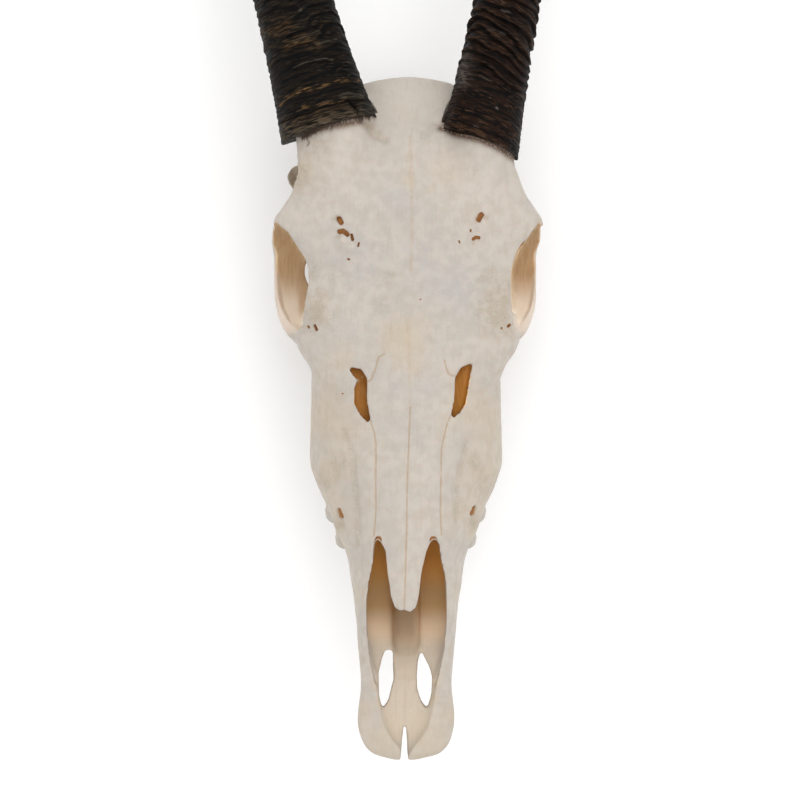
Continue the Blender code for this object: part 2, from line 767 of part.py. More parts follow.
def horn_places(horn, places):
    """Centres along a horn that runs down from its base until its tip lies on the floor."""
    drop = horn.z - HORN_TIP_RADIUS
    level = math.sqrt(HORN_LENGTH**2 - drop**2) / HORN_LENGTH
    fine = np.linspace(0, HORN_LENGTH, HORN_STEPS)
    angles = np.radians(horn.lean + horn.bend * fine / HORN_LENGTH)
    step = level * (fine[1] - fine[0])
    across = horn.x + np.concatenate(([0], np.cumsum(np.sin(angles[1:]) * step)))
    along = horn.y + np.concatenate(([0], np.cumsum(np.cos(angles[1:]) * step)))
    share = fine / HORN_LENGTH
    height = horn.z - drop * ((1 - BACKWARD_CURVE) * share + BACKWARD_CURVE * share**2)
    return [Vector([np.interp(place, fine, row) for row in (across, along, height)]) for place in places]


def horn_size(horn, places):
    """Smooth radii of a horn, across and deep, without its rings."""
    taper = (1 - places / HORN_LENGTH) ** HORN_TAPER
    flare = horn.flare * np.exp(-places / FLARE_LENGTH)
    across = HORN_TIP_RADIUS + (horn.across - HORN_TIP_RADIUS) * taper + flare
    deep = HORN_TIP_RADIUS + (horn.deep - HORN_TIP_RADIUS) * taper + flare
    return across, deep


def horn_rings(horn, places, angles, relief):
    """Points along and around a horn; the relief is how far its surface stands out."""
    centres = np.array(horn_places(horn, places))
    ahead = np.array(horn_places(horn, places + 1)) - np.array(horn_places(horn, places - 1))
    ahead[-1] = ahead[-2]
    ahead /= np.linalg.norm(ahead, axis=1)[:, None]
    flat = np.cross(ahead, (0, 0, 1))
    flat /= np.linalg.norm(flat, axis=1)[:, None]
    lift = np.cross(flat, ahead)
    across, deep = horn_size(horn, places)
    wide = (across[:, None] + relief) * np.cos(angles)
    tall = (deep[:, None] + relief) * np.sin(angles)
    forward = -horn.slant * wide * (1 - places[:, None] / HORN_LENGTH)
    sideways = flat[:, None] * wide[..., None] + lift[:, None] * tall[..., None]
    return centres[:, None] + sideways + ahead[:, None] * forward[..., None]


def even_angles(sides):
    return np.arange(sides) * math.tau / sides


def horn_piece(name, horn):
    """A horn with its rings, from its open base plane to its tip."""
    ringed = HORN_LENGTH * RINGED_SHARE
    places = np.concatenate((np.arange(0, ringed, RING_SPACING / 2), np.linspace(ringed, HORN_LENGTH, 13)))
    fade = np.clip(2 - 2 * places / ringed, 0, 1)
    relief = RING_HEIGHT * fade * (0.5 + 0.5 * np.cos(math.tau * places / RING_SPACING))
    return skin_rings(name, horn_rings(horn, places, even_angles(HORN_SIDES), relief[:, None]))


def make_room_for_horn(body, horn):
    """Cut the bone back to the plane where the horn begins."""
    rings = horn_rings(horn, np.array(ROOM_PLACES), even_angles(HORN_SIDES), ROOM_ROUND_HORN)
    ahead = rings[1].mean(axis=0) - rings[0].mean(axis=0)
    rings[0] -= ahead / np.linalg.norm(ahead) * SEAM_GAP
    combine(body, skin_rings("room", rings), "DIFFERENCE")


def divide(body):
    """Part the skull along its seams into named bones."""
    bones = []
    for name, outline in NASAL_OUTLINES.items():
        bones.append(part_off(body, name, nasal_region(outline)))
    for side, word in ((-1, "left"), (1, "right")):
        low, high = ARCH_BOX
        arch = ((side * low[0], low[1]), (side * high[0], low[1]), (side * high[0], high[1]),
                (side * low[0], high[1]))
        bones.append(part_off(body, f"zygomatic_{word}", region_of(arch, low[2], high[2])))
        rim = [(side * x, y) for x, y in RIM_SEAM]
        front = half_outline(side, BLOCK_FRONT, PALATE_SEAM)
        outline = front[:-2] + [(side * RIM_SEAM[0][0], PALATE_SEAM)] + rim
        outline += [(side * BLOCK_SIDE, RIM_SEAM[-1][1]), (side * BLOCK_SIDE, BLOCK_FRONT)]
        bones.append(part_off(body, f"premaxilla_{word}", region_of(outline, BLOCK_LOW, BLOCK_HIGH)))
        outline = half_outline(side, BLOCK_FRONT, MAXILLA_END)
        bones.append(part_off(body, f"maxilla_{word}", region_of(outline, BLOCK_LOW, BLOCK_HIGH)))
        outline = half_outline(side, FRONTAL_START, FRONTAL_END)
        bones.append(part_off(body, f"frontal_{word}", region_of(outline, FRONTAL_FLOOR, BLOCK_HIGH)))
    body.name = "braincase"
    keep_largest(body)
    return [*bones, body]


def material(name):
    colour, roughness = MATERIALS[name]
    made = bpy.data.materials.new(name)
    made.use_nodes = True
    shader = made.node_tree.nodes["Principled BSDF"]
    shader.inputs["Base Color"].default_value = (*colour, 1)
    shader.inputs["Roughness"].default_value = roughness
    shader.inputs["Metallic"].default_value = 0
    return made


def finish(pieces, made):
    for piece in pieces:
        piece.data.materials.clear()
        piece.data.materials.append(made)
        piece.data.shade_smooth()
        piece.data.set_sharp_from_angle(angle=math.radians(40))


def place_on_floor(pieces):
    """Set the origin under the middle of the whole, on the floor."""
    corners = np.array([vert.co for piece in pieces for vert in piece.data.vertices])
    low = corners.min(axis=0)
    high = corners.max(axis=0)
    shift = Vector((-(low[0] + high[0]) / 2, -(low[1] + high[1]) / 2, -low[2]))
    for piece in pieces:
        for vert in piece.data.vertices:
            vert.co += shift


def main():
    clear_scene()
    body = whole_skull()
    horns = []
    for name, horn in HORNS.items():
        make_room_for_horn(body, horn)
        horns.append(horn_piece(name, horn))
    bones = divide(body)
    finish(bones, material("bone"))
    finish(horns, material("horn"))
    place_on_floor(bones + horns)


main()
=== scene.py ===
"""Gemsbok skull, seen from above: bone, teeth and ringed horns with their fine surface.

The shapes are those of the solids, built finer. Tables are in millimetres, in the photograph's
axes: X across the skull, Y from the muzzle tip towards the horns, Z up.
"""

import math
from collections import namedtuple

import bmesh
import bpy
import numpy as np
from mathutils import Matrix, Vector, noise
from mathutils.bvhtree import BVHTree


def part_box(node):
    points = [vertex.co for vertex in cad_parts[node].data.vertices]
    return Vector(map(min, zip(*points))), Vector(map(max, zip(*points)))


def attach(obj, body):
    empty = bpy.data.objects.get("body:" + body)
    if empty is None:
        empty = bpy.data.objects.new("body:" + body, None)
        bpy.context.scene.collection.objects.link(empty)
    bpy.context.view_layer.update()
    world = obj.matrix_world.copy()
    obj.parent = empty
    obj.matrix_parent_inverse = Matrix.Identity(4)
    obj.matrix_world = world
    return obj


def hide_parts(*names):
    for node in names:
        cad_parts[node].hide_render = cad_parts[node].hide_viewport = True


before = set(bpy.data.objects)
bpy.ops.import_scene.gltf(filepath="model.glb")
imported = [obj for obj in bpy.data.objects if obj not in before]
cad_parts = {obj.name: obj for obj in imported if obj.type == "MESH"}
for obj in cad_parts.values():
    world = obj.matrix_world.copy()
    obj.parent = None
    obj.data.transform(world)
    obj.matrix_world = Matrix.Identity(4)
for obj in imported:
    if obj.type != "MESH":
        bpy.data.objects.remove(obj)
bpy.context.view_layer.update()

MM = 0.001
FAR_AWAY = 1e9
X, Y, Z = range(3)
# Voxel sizes of the bodies that are melted together, and rounds of smoothing
FORM_VOXEL = 1.25
BONE_VOXEL = 1.0
HOLLOW_VOXEL = 1.0
TOOTH_VOXEL = 0.5
FORM_SMOOTHING = 15
EDGE_SMOOTHING = 4
TOOTH_SMOOTHING = 2
# How level a tube has to run for its width to be measured level
STEEPEST = 0.3
# The skull's lean to one side: how much, round which height, and from where over what length
LEAN_AT_BROW = 0.045
LEAN_HEIGHT = 110.0
LEAN_START = 63.3
LEAN_LENGTH = 316.7
# A horn's length along its curve, the radius of its tip, the room round it and the gap at its base
HORN_LENGTH = 850.0
HORN_TIP_RADIUS = 3.0
ROOM_ROUND_HORN = 2.0
SEAM_GAP = 0.32

# Cross sections of a form: half width, height of its crown, of its widest line and of its base,
# and how square its upper and lower halves are (2 is an ellipse)
Station = namedtuple("Station", "reach half crown waist base crown_power base_power")


def stations(*rows):
    """The cross sections of one form, from front to back."""
    return tuple(Station(*row) for row in rows)


ROSTRUM = stations(
    (1.4, 7, 142, 138, 134, 2, 2), (4, 18.5, 144, 138, 131, 2, 2), (8, 24, 145, 138, 129, 2, 2),
    (15, 27.6, 145, 137, 127, 2, 2.3), (25, 29.3, 144, 136, 125, 2, 2.5),
    (47, 27.2, 147, 133, 119, 2, 2.5), (63, 28.4, 154, 129, 114, 2, 2.5),
    (92, 30.8, 165.5, 121, 104, 2, 2.5), (106, 33, 167, 118, 99, 2, 2.6),
    (122, 35.6, 167.5, 114, 92, 2, 3), (137, 42.3, 167, 110, 86, 2, 3),
    (150, 47, 166.5, 106, 80, 2, 3.2), (164, 53.6, 166, 103, 74, 2, 3.4),
    (180, 58, 165, 100, 68, 2, 3.4), (201, 57.6, 163.5, 98, 60, 2.1, 3.2),
    (228, 57, 161, 98, 50, 2.3, 2.8), (246, 55, 159, 104, 56, 2.6, 2.4), (262, 46, 157, 110, 74, 3, 2),
)
BROW = stations(
    (190, 40, 157, 110, 90, 2, 2), (210, 50, 158, 122, 100, 2.1, 2), (229, 56, 159, 132, 108, 2.3, 2),
    (247, 61, 159, 137, 112, 2.7, 2), (262, 61.5, 158.5, 140, 116, 3.2, 2),
    (290, 61, 157, 143, 122, 3.6, 2), (306, 65.5, 158, 143, 122, 3.4, 2),
    (320, 78, 160, 141, 118, 3, 2), (327, 76.5, 161, 140, 112, 2.8, 2),
    (336, 70.5, 161, 138, 104, 2.7, 2), (352, 64.5, 158, 134, 92, 2.6, 2),
    (370, 58, 149, 126, 84, 2.4, 2), (388, 47, 133, 112, 76, 2.2, 2), (403, 34, 118, 100, 72, 2, 2),
)
BRAINCASE = stations(
    (300, 20, 130, 90, 52, 2, 2), (318, 32, 140, 88, 34, 2.2, 2), (345, 44, 145, 84, 22, 2.3, 2.1),
    (372, 47, 140, 76, 20, 2.3, 2.2), (390, 43, 126, 75, 27, 2.3, 2.2),
    (402, 34, 113, 76, 42, 2.2, 2.2), (409, 22, 101, 78, 58, 2, 2),
)
EYE_WALL = stations(
    (228, 26, 140, 92, 50, 3, 2.2), (250, 25, 148, 92, 47, 3, 2.2), (290, 23, 148, 90, 44, 3, 2.2),
    (325, 27, 148, 86, 34, 3, 2.2),
)
# The air passage behind the nose
NOSE_TUNNEL = stations(
    (50, 17, 150, 140, 130, 3, 3), (66, 21.5, 152, 138, 125, 2.4, 3), (92, 24, 160, 130, 114, 2.2, 3),
    (112, 23, 162.5, 128, 108, 2.2, 3), (128, 22.5, 163, 126, 103, 2.2, 2.6),
    (145, 24.5, 162.5, 126, 101, 2.1, 2.4), (165, 27, 161.5, 126, 101, 2, 2.2),
    (184, 28, 160.5, 140, 118, 2, 2.2), (198, 31, 159.5, 150, 144, 2, 2.2),
    (225, 34, 156.5, 148, 143.5, 2, 2.2), (238, 34, 154, 148, 143.5, 2, 2),
    (246, 16, 149, 147, 144, 2, 2),
)
# The floor in front of the nose, between the arms of the premaxillae
NOSE_BASIN = stations(
    (3, 1.5, 160, 152, 141, 2, 2), (8, 4.0, 160, 152, 139.5, 2, 2.2), (15, 10, 160, 152, 138, 2, 2.4),
    (24, 15.4, 160, 152, 136.5, 2, 2.6), (39, 18, 165, 154, 133, 2, 2.8),
    (52, 19.4, 168, 156, 130, 2, 3), (66, 21.5, 172, 158, 126, 2, 3), (80, 23, 175, 160, 119.5, 2, 3),
)
# The ridge along the middle of the nose floor
VOMER = stations(
    (60, 7, 126, 120, 112, 3, 2), (72, 8.3, 130, 118, 106, 3.5, 2), (100, 8, 124, 110, 98, 3.5, 2),
    (150, 6, 116, 100, 90, 3, 2),
)
PALATE_VAULT = stations(
    (60, 8, 112, 106, 100, 2, 2), (90, 17, 108, 98, 84, 2, 2), (137, 26, 89.5, 78, 64, 2.2, 2),
    (180, 30, 72.5, 60, 42, 2.2, 2), (215, 29, 60, 46, 24, 2.2, 2), (240, 22, 58, 42, 18, 2.2, 2),
    (268, 16, 58, 40, 14, 2, 2),
)

# Tubes: stops of (x, y, z, half width, half height), for the right side and mirrored
ZYGOMA = (
    (40, 222, 92, 9, 14), (47.5, 240, 96, 11, 18), (52.5, 251, 97, 11, 18), (61.5, 264, 95, 14, 17),
    (66, 278, 92, 13.5, 15), (66, 298, 91, 13.5, 14), (66.5, 316, 88, 13, 12), (63.5, 331, 80, 7.5, 8),
    (59.5, 346, 77, 7, 8), (46, 362, 75, 10, 11),
)
POST_ORBITAL_BAR = (
    (73, 306, 86, 7, 8), (75, 312, 104, 6, 8), (75.5, 318, 122, 5, 8), (73.5, 321, 139, 6, 9),
    (62, 326, 143, 9, 11),
)
LACRIMAL_BULGE = (
    (46, 236, 130, 10, 22), (57, 250, 126, 9, 24), (62, 260, 122, 6, 22),
)
CONDYLE = (
    (10, 380, 46, 8, 9), (18, 392, 41, 10, 13), (21, 393, 28, 9.5, 13), (17, 382, 16, 8, 9),
)
MASTOID_RIDGE = (
    (43, 392, 98, 5, 7), (47, 382, 80, 5, 9), (45, 372, 62, 6, 10), (41, 362, 46, 5, 9),
)
EAR_TUBE = (
    (34, 352, 56, 8, 8), (45, 355, 62, 6.5, 6.5), (52, 357, 66, 5.5, 5.5),
)
PARACONDYLAR = (
    (40, 366, 62, 9, 12), (41, 356, 44, 7, 11), (40, 346, 26, 5.5, 9), (38, 339, 9, 4.5, 6.5),
    (37, 337, -4, 4, 4.5),
)
BULLA = (
    (26, 322, 40, 6, 6), (27, 328, 27, 9, 11), (27, 336, 22, 8, 10), (28, 346, 30, 6, 8),
)
PTERYGOID = (
    (16, 232, 52, 3.5, 12), (17, 256, 48, 3, 13), (17.5, 282, 48, 3, 12), (17, 306, 50, 3.5, 10),
)
BASE_OF_SKULL = (
    (0, 262, 58, 6, 10), (0, 300, 44, 9, 10), (0, 330, 32, 13, 9), (0, 362, 24, 16, 9),
    (0, 380, 24, 15, 9),
)
NUCHAL_CREST = (
    (-47, 376, 88, 5, 8), (-40, 392, 96, 5, 7), (-24, 401, 105, 5.5, 8), (0, 404, 108, 6, 8),
    (22, 402, 105, 5.5, 8), (40, 392, 96, 5, 7), (47, 376, 88, 5, 8),
)
# What the bone is melted together from: forms, tubes in the middle and tubes on both sides
MAIN_FORMS = {"rostrum": ROSTRUM, "brow": BROW, "braincase": BRAINCASE, "eye_wall": EYE_WALL}
MIDDLE_TUBES = {"base": BASE_OF_SKULL, "crest": NUCHAL_CREST}
PAIRED_TUBES = {
    "zygoma": ZYGOMA, "bar": POST_ORBITAL_BAR, "lacrimal": LACRIMAL_BULGE, "condyle": CONDYLE,
    "paracondylar": PARACONDYLAR, "bulla": BULLA, "mastoid": MASTOID_RIDGE, "ear_tube": EAR_TUBE,
}

# Outlines seen from above, as (x, y)
NOSE_OPENING = (
    (-17, 134), (-14.5, 131), (-12.2, 126), (-11, 113.5), (-9, 100), (-7, 93.5), (-3.8, 91.2),
    (-1.4, 92.2), (2, 90.6), (5.5, 93.3), (7, 100.4), (8.8, 113.5), (11.6, 126), (14, 131.5),
    (16.5, 134.2), (19.4, 130.5), (20.4, 121.5), (22.9, 110.5), (23.7, 96), (23.7, 85), (22.4, 68),
    (18.9, 51.5), (17, 45), (8, 53), (-8, 53), (-17, 45), (-18.9, 48), (-21.9, 63.5), (-23.4, 78.5),
    (-23.7, 95.5), (-22.1, 108.5), (-19.7, 120.5), (-18.8, 131),
)
PALATINE_FISSURES = (
    ((-12.5, 66), (-8.2, 66), (-8, 58.8), (-7.6, 49), (-11, 36), (-14.2, 31.2), (-16.4, 39),
     (-16.7, 51.8), (-14.6, 61)),
    ((8.8, 66.3), (13.9, 55.8), (15.4, 50), (15, 40), (12.4, 31), (8.8, 36), (6.4, 43),
     (6.2, 51), (6.7, 59)),
)
MUZZLE_NOTCH = (
    (-1, 27), (-2, 20), (-2.7, 14), (-3.1, 7), (-3.6, 1), (-4, -8), (1.6, -8), (1, 2), (0.6, 7),
    (0.4, 14), (-0.1, 20),
)
SIDE_GAPS = (
    ((-34.4, 236), (-30.5, 234), (-26.9, 233.7), (-23.3, 228), (-23.4, 214.5), (-20.8, 200.5),
     (-27.2, 207), (-30.5, 213), (-30.5, 222.5), (-28.6, 227), (-32.8, 232)),
    ((39.4, 237.5), (31.8, 234.6), (28.8, 229), (28.4, 215.5), (25.7, 203.5), (31.6, 208.5),
     (34.2, 213), (36.2, 224.5), (37.8, 231)),
)
FORAMEN_MAGNUM = ((0, 420, 46), (0, 352, 58), 12.0)
TEMPLE = {"centre": (61, 348, 100), "radii": (15, 15, 22)}
# A slot behind the eye socket, which shows on the left
SOCKET_SLOTS = (
    {"centre": (-46.5, 293.5, 76), "radii": (14.6, 15, 44)},
    {"centre": (46, 293.5, 76), "radii": (11, 14, 44)},
)
# The bowl of an eye socket: its middle, its half sizes and how far up it is open
EYE_BOWL = {"centre": (46, 292, 128), "radii": (44, 42, 47)}
EYE_BOWL_TOP = 220.0
# The edge of the frontal bone over each socket, from back to front, seen from above
SOCKET_OUTLINES = (
    ((-100, 324), (-78.5, 322.5), (-70.4, 315.6), (-65, 306.6), (-60.2, 299.4), (-58, 293.4),
     (-57.8, 285), (-59.6, 274.2), (-61, 267), (-61.8, 260.5), (-64, 257), (-70, 255.2), (-100, 250)),
    ((100, 328), (80.6, 325.4), (77.8, 320.5), (73.5, 314.5), (68, 304.5), (64, 295.8), (63.4, 286),
     (64, 274.2), (65.2, 266), (66, 260), (69.5, 257), (75, 256), (100, 252)),
)
# A small lump on the left, below the horn; how far it is rough, how much, from where, and its noise
LUMP = {"centre": (-65, 351, 82), "radii": (6.7, 7.2, 10)}
LUMP_ROUGHNESS = (9.0, 1.8)
LUMP_EDGE = 0.1
LUMP_NOISE = (5.0, 2.2, 2)
# Heights between which the openings are cut downwards
ABOVE_ALL = 219.0
THROUGH_PALATE = 60.0
SOCKET_CUT_LOW = 40.0
NOSE_OPENING_LOW = 137.0
SIDE_GAP_LOW = 147.0

# Cheek teeth from front to back: (y, outer face x, length, width, gum z)
TEETH = (
    (108, 31.5, 12.5, 9.5, 103), (121.5, 34.2, 14, 12, 97), (137, 43.2, 16, 15.5, 91),
    (154, 49.4, 20.5, 18.5, 83), (174, 52.4, 23, 20, 74), (196, 53.2, 23.5, 19.5, 65),
)
CROWN_HEIGHT = 14.0
ROOT_DEPTH = 16.0
# Rings of a tooth: depth below the gum and share of its size; how square it is, and its fold
TOOTH_RINGS = ((-ROOT_DEPTH, 0.86), (0, 0.94), (5, 1.0), (CROWN_HEIGHT, 0.97))
TOOTH_POWER = 3
TOOTH_FOLD = 0.13
PALATE_SLOPE = math.radians(22)

# Base centre, radii across and deep, flare of the sheath at its base, lean from the midline in
# degrees, how much that lean changes towards the tip, and how far its rings run aslant
Horn = namedtuple("Horn", "x y z across deep flare lean bend slant")
HORNS = {
    "horn_left": Horn(-46.8, 378.4, 135, 23.2, 24, 5.7, -15.7, 4.5, 0.0),
    "horn_right": Horn(44.5, 370.8, 135, 19.6, 23, 3.7, 11.0, -1.5, 0.2),
}
BACKWARD_CURVE = 0.3
PEDICLE_SET_IN = 5.0
PEDICLE_EDGE = 66.0
PEDICLE_SHIFT = 1.8
# Stops of a pedicle: share of its place across, how far behind and above the horn's mouth, and
# shares of its width and depth
PEDICLE_STOPS = (
    (0.8, -52, 8, 0.8, 0.7), (0.95, -28, 5, 0.95, 0.9), (1, 0, 0, 1, 1), (1.08, 16, -2, 1, 1),
)
FLARE_LENGTH = 45.0
HORN_TAPER = 0.93
HORN_STEPS = 400
ROOM_PLACES = (0.0, 45.0, 90.0)

# Sutures and slits seen from above, as (x, y)
SUTURES = {
    "between_nasals": ((2.2, 211), (1.3, 189), (0.4, 165), (0.1, 141), (-0.6, 115), (-1.4, 90)),
    "nasal_left": ((-21.6, 203.5), (-19.2, 196), (-18.2, 189), (-18.3, 149), (-19.6, 135)),
    "nasal_right": ((26.2, 206), (23.6, 199.5), (20.8, 186.5), (20.2, 149), (20.8, 136)),
    "nasal_top_left": (
        (-24, 226.2), (-22, 226.6), (-20.7, 227.8), (-19.8, 231), (-18.2, 234.2), (-17.6, 237.5),
        (-16.4, 240.6), (-13, 242.6),
    ),
    "nasal_top_right": ((22.4, 238.9), (23.2, 235.4), (24.7, 231.2), (26.4, 229.8), (28.6, 229.3)),
}
# Sutures that have nearly grown over: a line and how strongly it shows
FAINT_SUTURES = (
    (((2.2, 371), (2.6, 350), (3.4, 314), (2.4, 292)), 1.0),
    (((2.2, 211), (1.8, 240), (0.4, 262)), 0.8),
    (((-12.8, 243.6), (-9, 258), (-5, 276), (-1.4, 281)), 0.3),
    (((17, 243), (11, 260), (6, 274), (-1.4, 281)), 0.3),
)
# How far beside a mark the bone is made finer, in how many cuts, where it faces up and lies high
FINE_BAND = 2.2
FINE_CUTS = 2
FINE_FACING = 0.3
FINE_ABOVE = 135
# The height above the floor that no bone goes below
FLOOR_ROOM = 0.2
# Marks in the bone: half width, depth, and how far they wander by a noise of size, seed and octaves
Mark = namedtuple("Mark", "width depth wander")
SUTURE = Mark(0.42, 0.3, 0.3)
FAINT_SUTURE = Mark(1.3, 0.1, 0.5)
NASAL_HOLLOW = Mark(2.2, 0.35, 0.0)
WANDER = (4.0, 3.1, 2)
# How much of a suture shows everywhere, and of an overgrown one, which fades in over this range
SEAM_EVENNESS = 0.75
FAINT_EVENNESS = 0.45
FAINT_FADE = (-0.2, 0.5)
# Noise: how far a seed moves it on each axis, and along a line; how soft it is, and its octaves' ratio
SEED_SHIFT = (1, 1.7, 2.3)
LINE_SHIFT = 0.37
NOISE_SOFTNESS = 0.8
OCTAVE_RATIO = 2.0
# Waves of the bone: height, and the noise's size, seed and octaves
WAVES = ((0.28, 16.0, 7.7, 3), (0.06, 3.0, 1.3, 2))

# Soft creases: a line, its half width and its depth. Dents: x, y, half width and depth
CREASES = (
    (((-37.5, 197), (-32.3, 183.6), (-30.2, 161.4), (-29.3, 144.6), (-29.6, 130)), 2.2, 1.3),
    (((36, 189.7), (32.4, 177), (30.8, 165.6), (29.8, 144.6)), 2.2, 1.3),
    (((-41.2, 179.4), (-47, 167), (-51, 158)), 4.5, 0.9),
    (((39.7, 180.3), (44.8, 167.7), (47, 158)), 4.5, 0.9),
    (((-24.5, 382), (-20.5, 375), (-13, 370)), 3.0, 1.6), (((17.5, 378), (12.5, 374)), 3.0, 1.2),
    (((-0.9, 24), (-0.9, 62)), 0.5, 0.35), (((-39.0, 146.5), (-38.2, 140.5)), 1.7, 1.3),
    (((39.3, 148), (40.0, 142)), 1.6, 1.3),
)
DENTS = (
    (-43, 222, 13, 0.8), (44, 224, 13, 0.8), (-47, 164, 6, 1.0), (45, 166, 6, 0.9), (-30, 276, 14, 0.5),
    (28, 268, 14, 0.5), (-57.5, 258, 3.0, 0.5), (-31.8, 309.4, 1.6, 0.7), (-28.9, 305.6, 1.2, 0.5),
    (-37.4, 311.0, 2.8, 2.6), (-41.0, 322.4, 1.5, 1.2), (-31.6, 306.6, 1.0, 0.8),
    (45.6, 321.0, 2.0, 2.2), (41.4, 308.4, 1.6, 1.6),
)
# Small holes in the bone where the photograph shows them: a line, its half width and its depth
PITS = (
    (((-55.3, 259.9), (-54.3, 257.7)), 0.95, 2.6), (((-59.5, 259.7), (-59.1, 259.1)), 0.6, 1.4),
    (((61.4, 259.8), (62.4, 260.6)), 0.8, 2.0), (((57.2, 258.7), (57.3, 258.4)), 0.55, 1.0),
    (((-32.9, 314.3), (-32.3, 311.5)), 0.8, 2.6), (((-28.5, 309.5), (-28.9, 307.7)), 0.5, 1.8),
    (((-35.0, 300.0), (-34.2, 299.6)), 0.5, 1.2), (((38.5, 317.3), (38.6, 316.5)), 0.5, 1.2),
    (((31.6, 310.7), (32.0, 309.8)), 0.45, 0.9), (((8.2, 275.8), (8.5, 275.8)), 0.4, 0.4),
    (((-38.8, 219), (-38.6, 219)), 0.45, 0.5), (((-40.4, 323.9), (-39.2, 321.8)), 1.5, 2.6),
    (((-40.0, 316.2), (-38.0, 316.6), (-35.6, 314.6)), 1.45, 2.6),
    (((43.5, 323.4), (45.0, 326.4)), 1.5, 2.6),
    (((40.3, 311.9), (41.6, 312.9), (43.4, 312.6)), 1.0, 1.8),
    (((-17.0, 131.8), (-17.3, 127)), 2.0, 1.2), (((16.3, 131.8), (16.8, 127)), 2.0, 1.2),
    (((-41.1, 148.4), (-40.5, 144.8)), 1.5, 3.0), (((41.4, 149.9), (41.0, 146.6)), 1.4, 3.0),
)
# Where the wall of a hole begins and ends, as shares of its half width
HOLE_WALL = (1.2, 0.7)
# How strongly a crease is darkened with painted shade
CREASE_SHADE = 0.4
# Where the bowl of an eye socket ends and its edge begins, as (y, x)
SOCKET_EDGE = ((250, 62.5), (256, 65.5), (262, 69.5), (270, 73.5), (283, 76), (298, 78))
# On the right the edge reaches further in over the face, as (y, x)
LIP_CORNER = ((256, 69), (257, 66.4), (259, 64.4), (262, 63.9), (268, 63.7), (272, 66), (298, 78))
# Thin plates that close part of a gap: x, y, radius and how much
INNER_PLATES = ((-28.8, 227, 2.2, 0.8), (-26, 229, 1.8, 0.7))
# How far the tone of the nose reaches past its tunnel's walls and roof, and round the gaps beside it
TUNNEL_ROOM = 2.5
ROOF_ROOM = 0.5
GAP_MARGIN = 1.2
# Where a tone begins and where it is full, measured from the edge of its form
NOSE_WALL = (1.0, 0.97)
NOSE_ROOF = (0.6, -0.6)
NOSE_FLOOR = (-4, -1)
SHELF_EDGE = (1, -4)
VOMER_EDGE = (11, 3.5)
VOMER_MIDDLE = -0.8
BOWL_EDGE = (1.05, 1.0)
LIP_EDGE = (-1, 0.6)
# Where a socket's hidden bowl begins inside the skull, and how much its inner strip is darker: painted
# shade
SOCKET_INNER = 20
STRIP_SHADE_SHARE = 0.7
# Soft limits of the zones of tone: an axis, where the zone begins there and where it is full.
# A facing is how the surface is turned, the others are where it lies
ZONES = {
    "top_facing": ((Z, 0.15, 0.5),),
    "top": ((Z, 120, 135),),
    "nose": ((Y, 252, 246),),
    "nose_depth": ((Y, 60, 135),),
    "nose_far": ((Y, 165, 190),),
    "gap_facing": ((Z, 0.75, 0.45),),
    "gap_deep": ((Z, 152, 150),),
    "gap": ((Z, 153.6, 151.2), (Z, 130, 136)),
    "shelf": ((Y, 96, 78), (Y, 4, 22), (Z, 146, 141)),
    "vomer": ((Y, 52, 80), (Y, 175, 150), (Z, 140, 134)),
    "socket_facing": ((X, 0.55, 0.2),),
    "socket_behind": ((X, 71.5, 70), (Y, 296, 302)),
    "socket_ahead": ((Y, 294, 288), (X, 78, 76.5)),
    "socket_height": ((Z, 153, 150),),
    "socket_length": ((Y, 254, 263),),
    "socket_painted_light": ((Y, 294, 270),),
    "socket_shaded_strip": ((X, 67, 63.5), (Y, 264, 271)),
    "hidden": ((X, 72, 69.5), (Z, 142, 138), (Z, 56, 60)),
    "rim_facing": ((Z, 0.2, 0.5),),
    "rim": ((Y, 276, 300), (Y, 322, 314)),
    "corner_facing": ((Z, 0.1, 0.25),),
    "corner": ((Z, 116, 122),),
    "lip_painted_light": ((Y, 253, 258), (Y, 298, 288), (Z, 70, 90)),
}

# Patches of tone seen from above: x, y, radius and strength
COOL = (
    (-30, 298, 24, 0.8), (12, 300, 26, 0.6), (30, 284, 22, 0.7), (-47, 264, 12, 0.2),
    (52, 264, 12, 0.2), (-10, 268, 16, 0.6), (0, 190, 12, 0.45), (-8, 222, 9, 0.5), (14, 222, 9, 0.5),
    (-27, 170, 6, 0.5), (26, 160, 6, 0.4), (-26, 45, 5, 0.4), (25, 45, 5, 0.4), (0, 335, 24, 0.3),
)
WARM = (
    (-50, 205, 20, 0.7), (50, 205, 20, 0.6), (-46, 172, 14, 0.7), (46, 172, 14, 0.6),
    (-12, 12, 16, 0.7), (12, 12, 16, 0.7), (-26, 30, 10, 0.6), (28, 30, 10, 0.6), (0, 60, 14, 0.4),
    (0, 270, 10, 0.3), (-2, 252, 14, 0.9), (6, 236, 8, 0.5), (-46, 196, 16, 0.5), (48, 196, 16, 0.5),
    (-40, 150, 14, 0.5), (42, 152, 14, 0.5), (-65, 350, 9, 1.0), (14.4, 339, 3, 0.6), (2, 345, 5, 0.6),
    (20, 350, 14, 0.3), (-24, 28, 6, 0.5), (26, 30, 6, 0.5), (-17, 46, 4, 0.9), (-15.5, 36, 4, 0.9),
    (17, 48, 4, 0.9), (17, 38, 4, 0.9), (-41, 135, 7, 0.7), (42, 137, 7, 0.7), (-30, 100, 6, 0.4),
    (32, 100, 6, 0.4), (0, 395, 22, 0.3), (-40, 240, 9, 0.3),
)
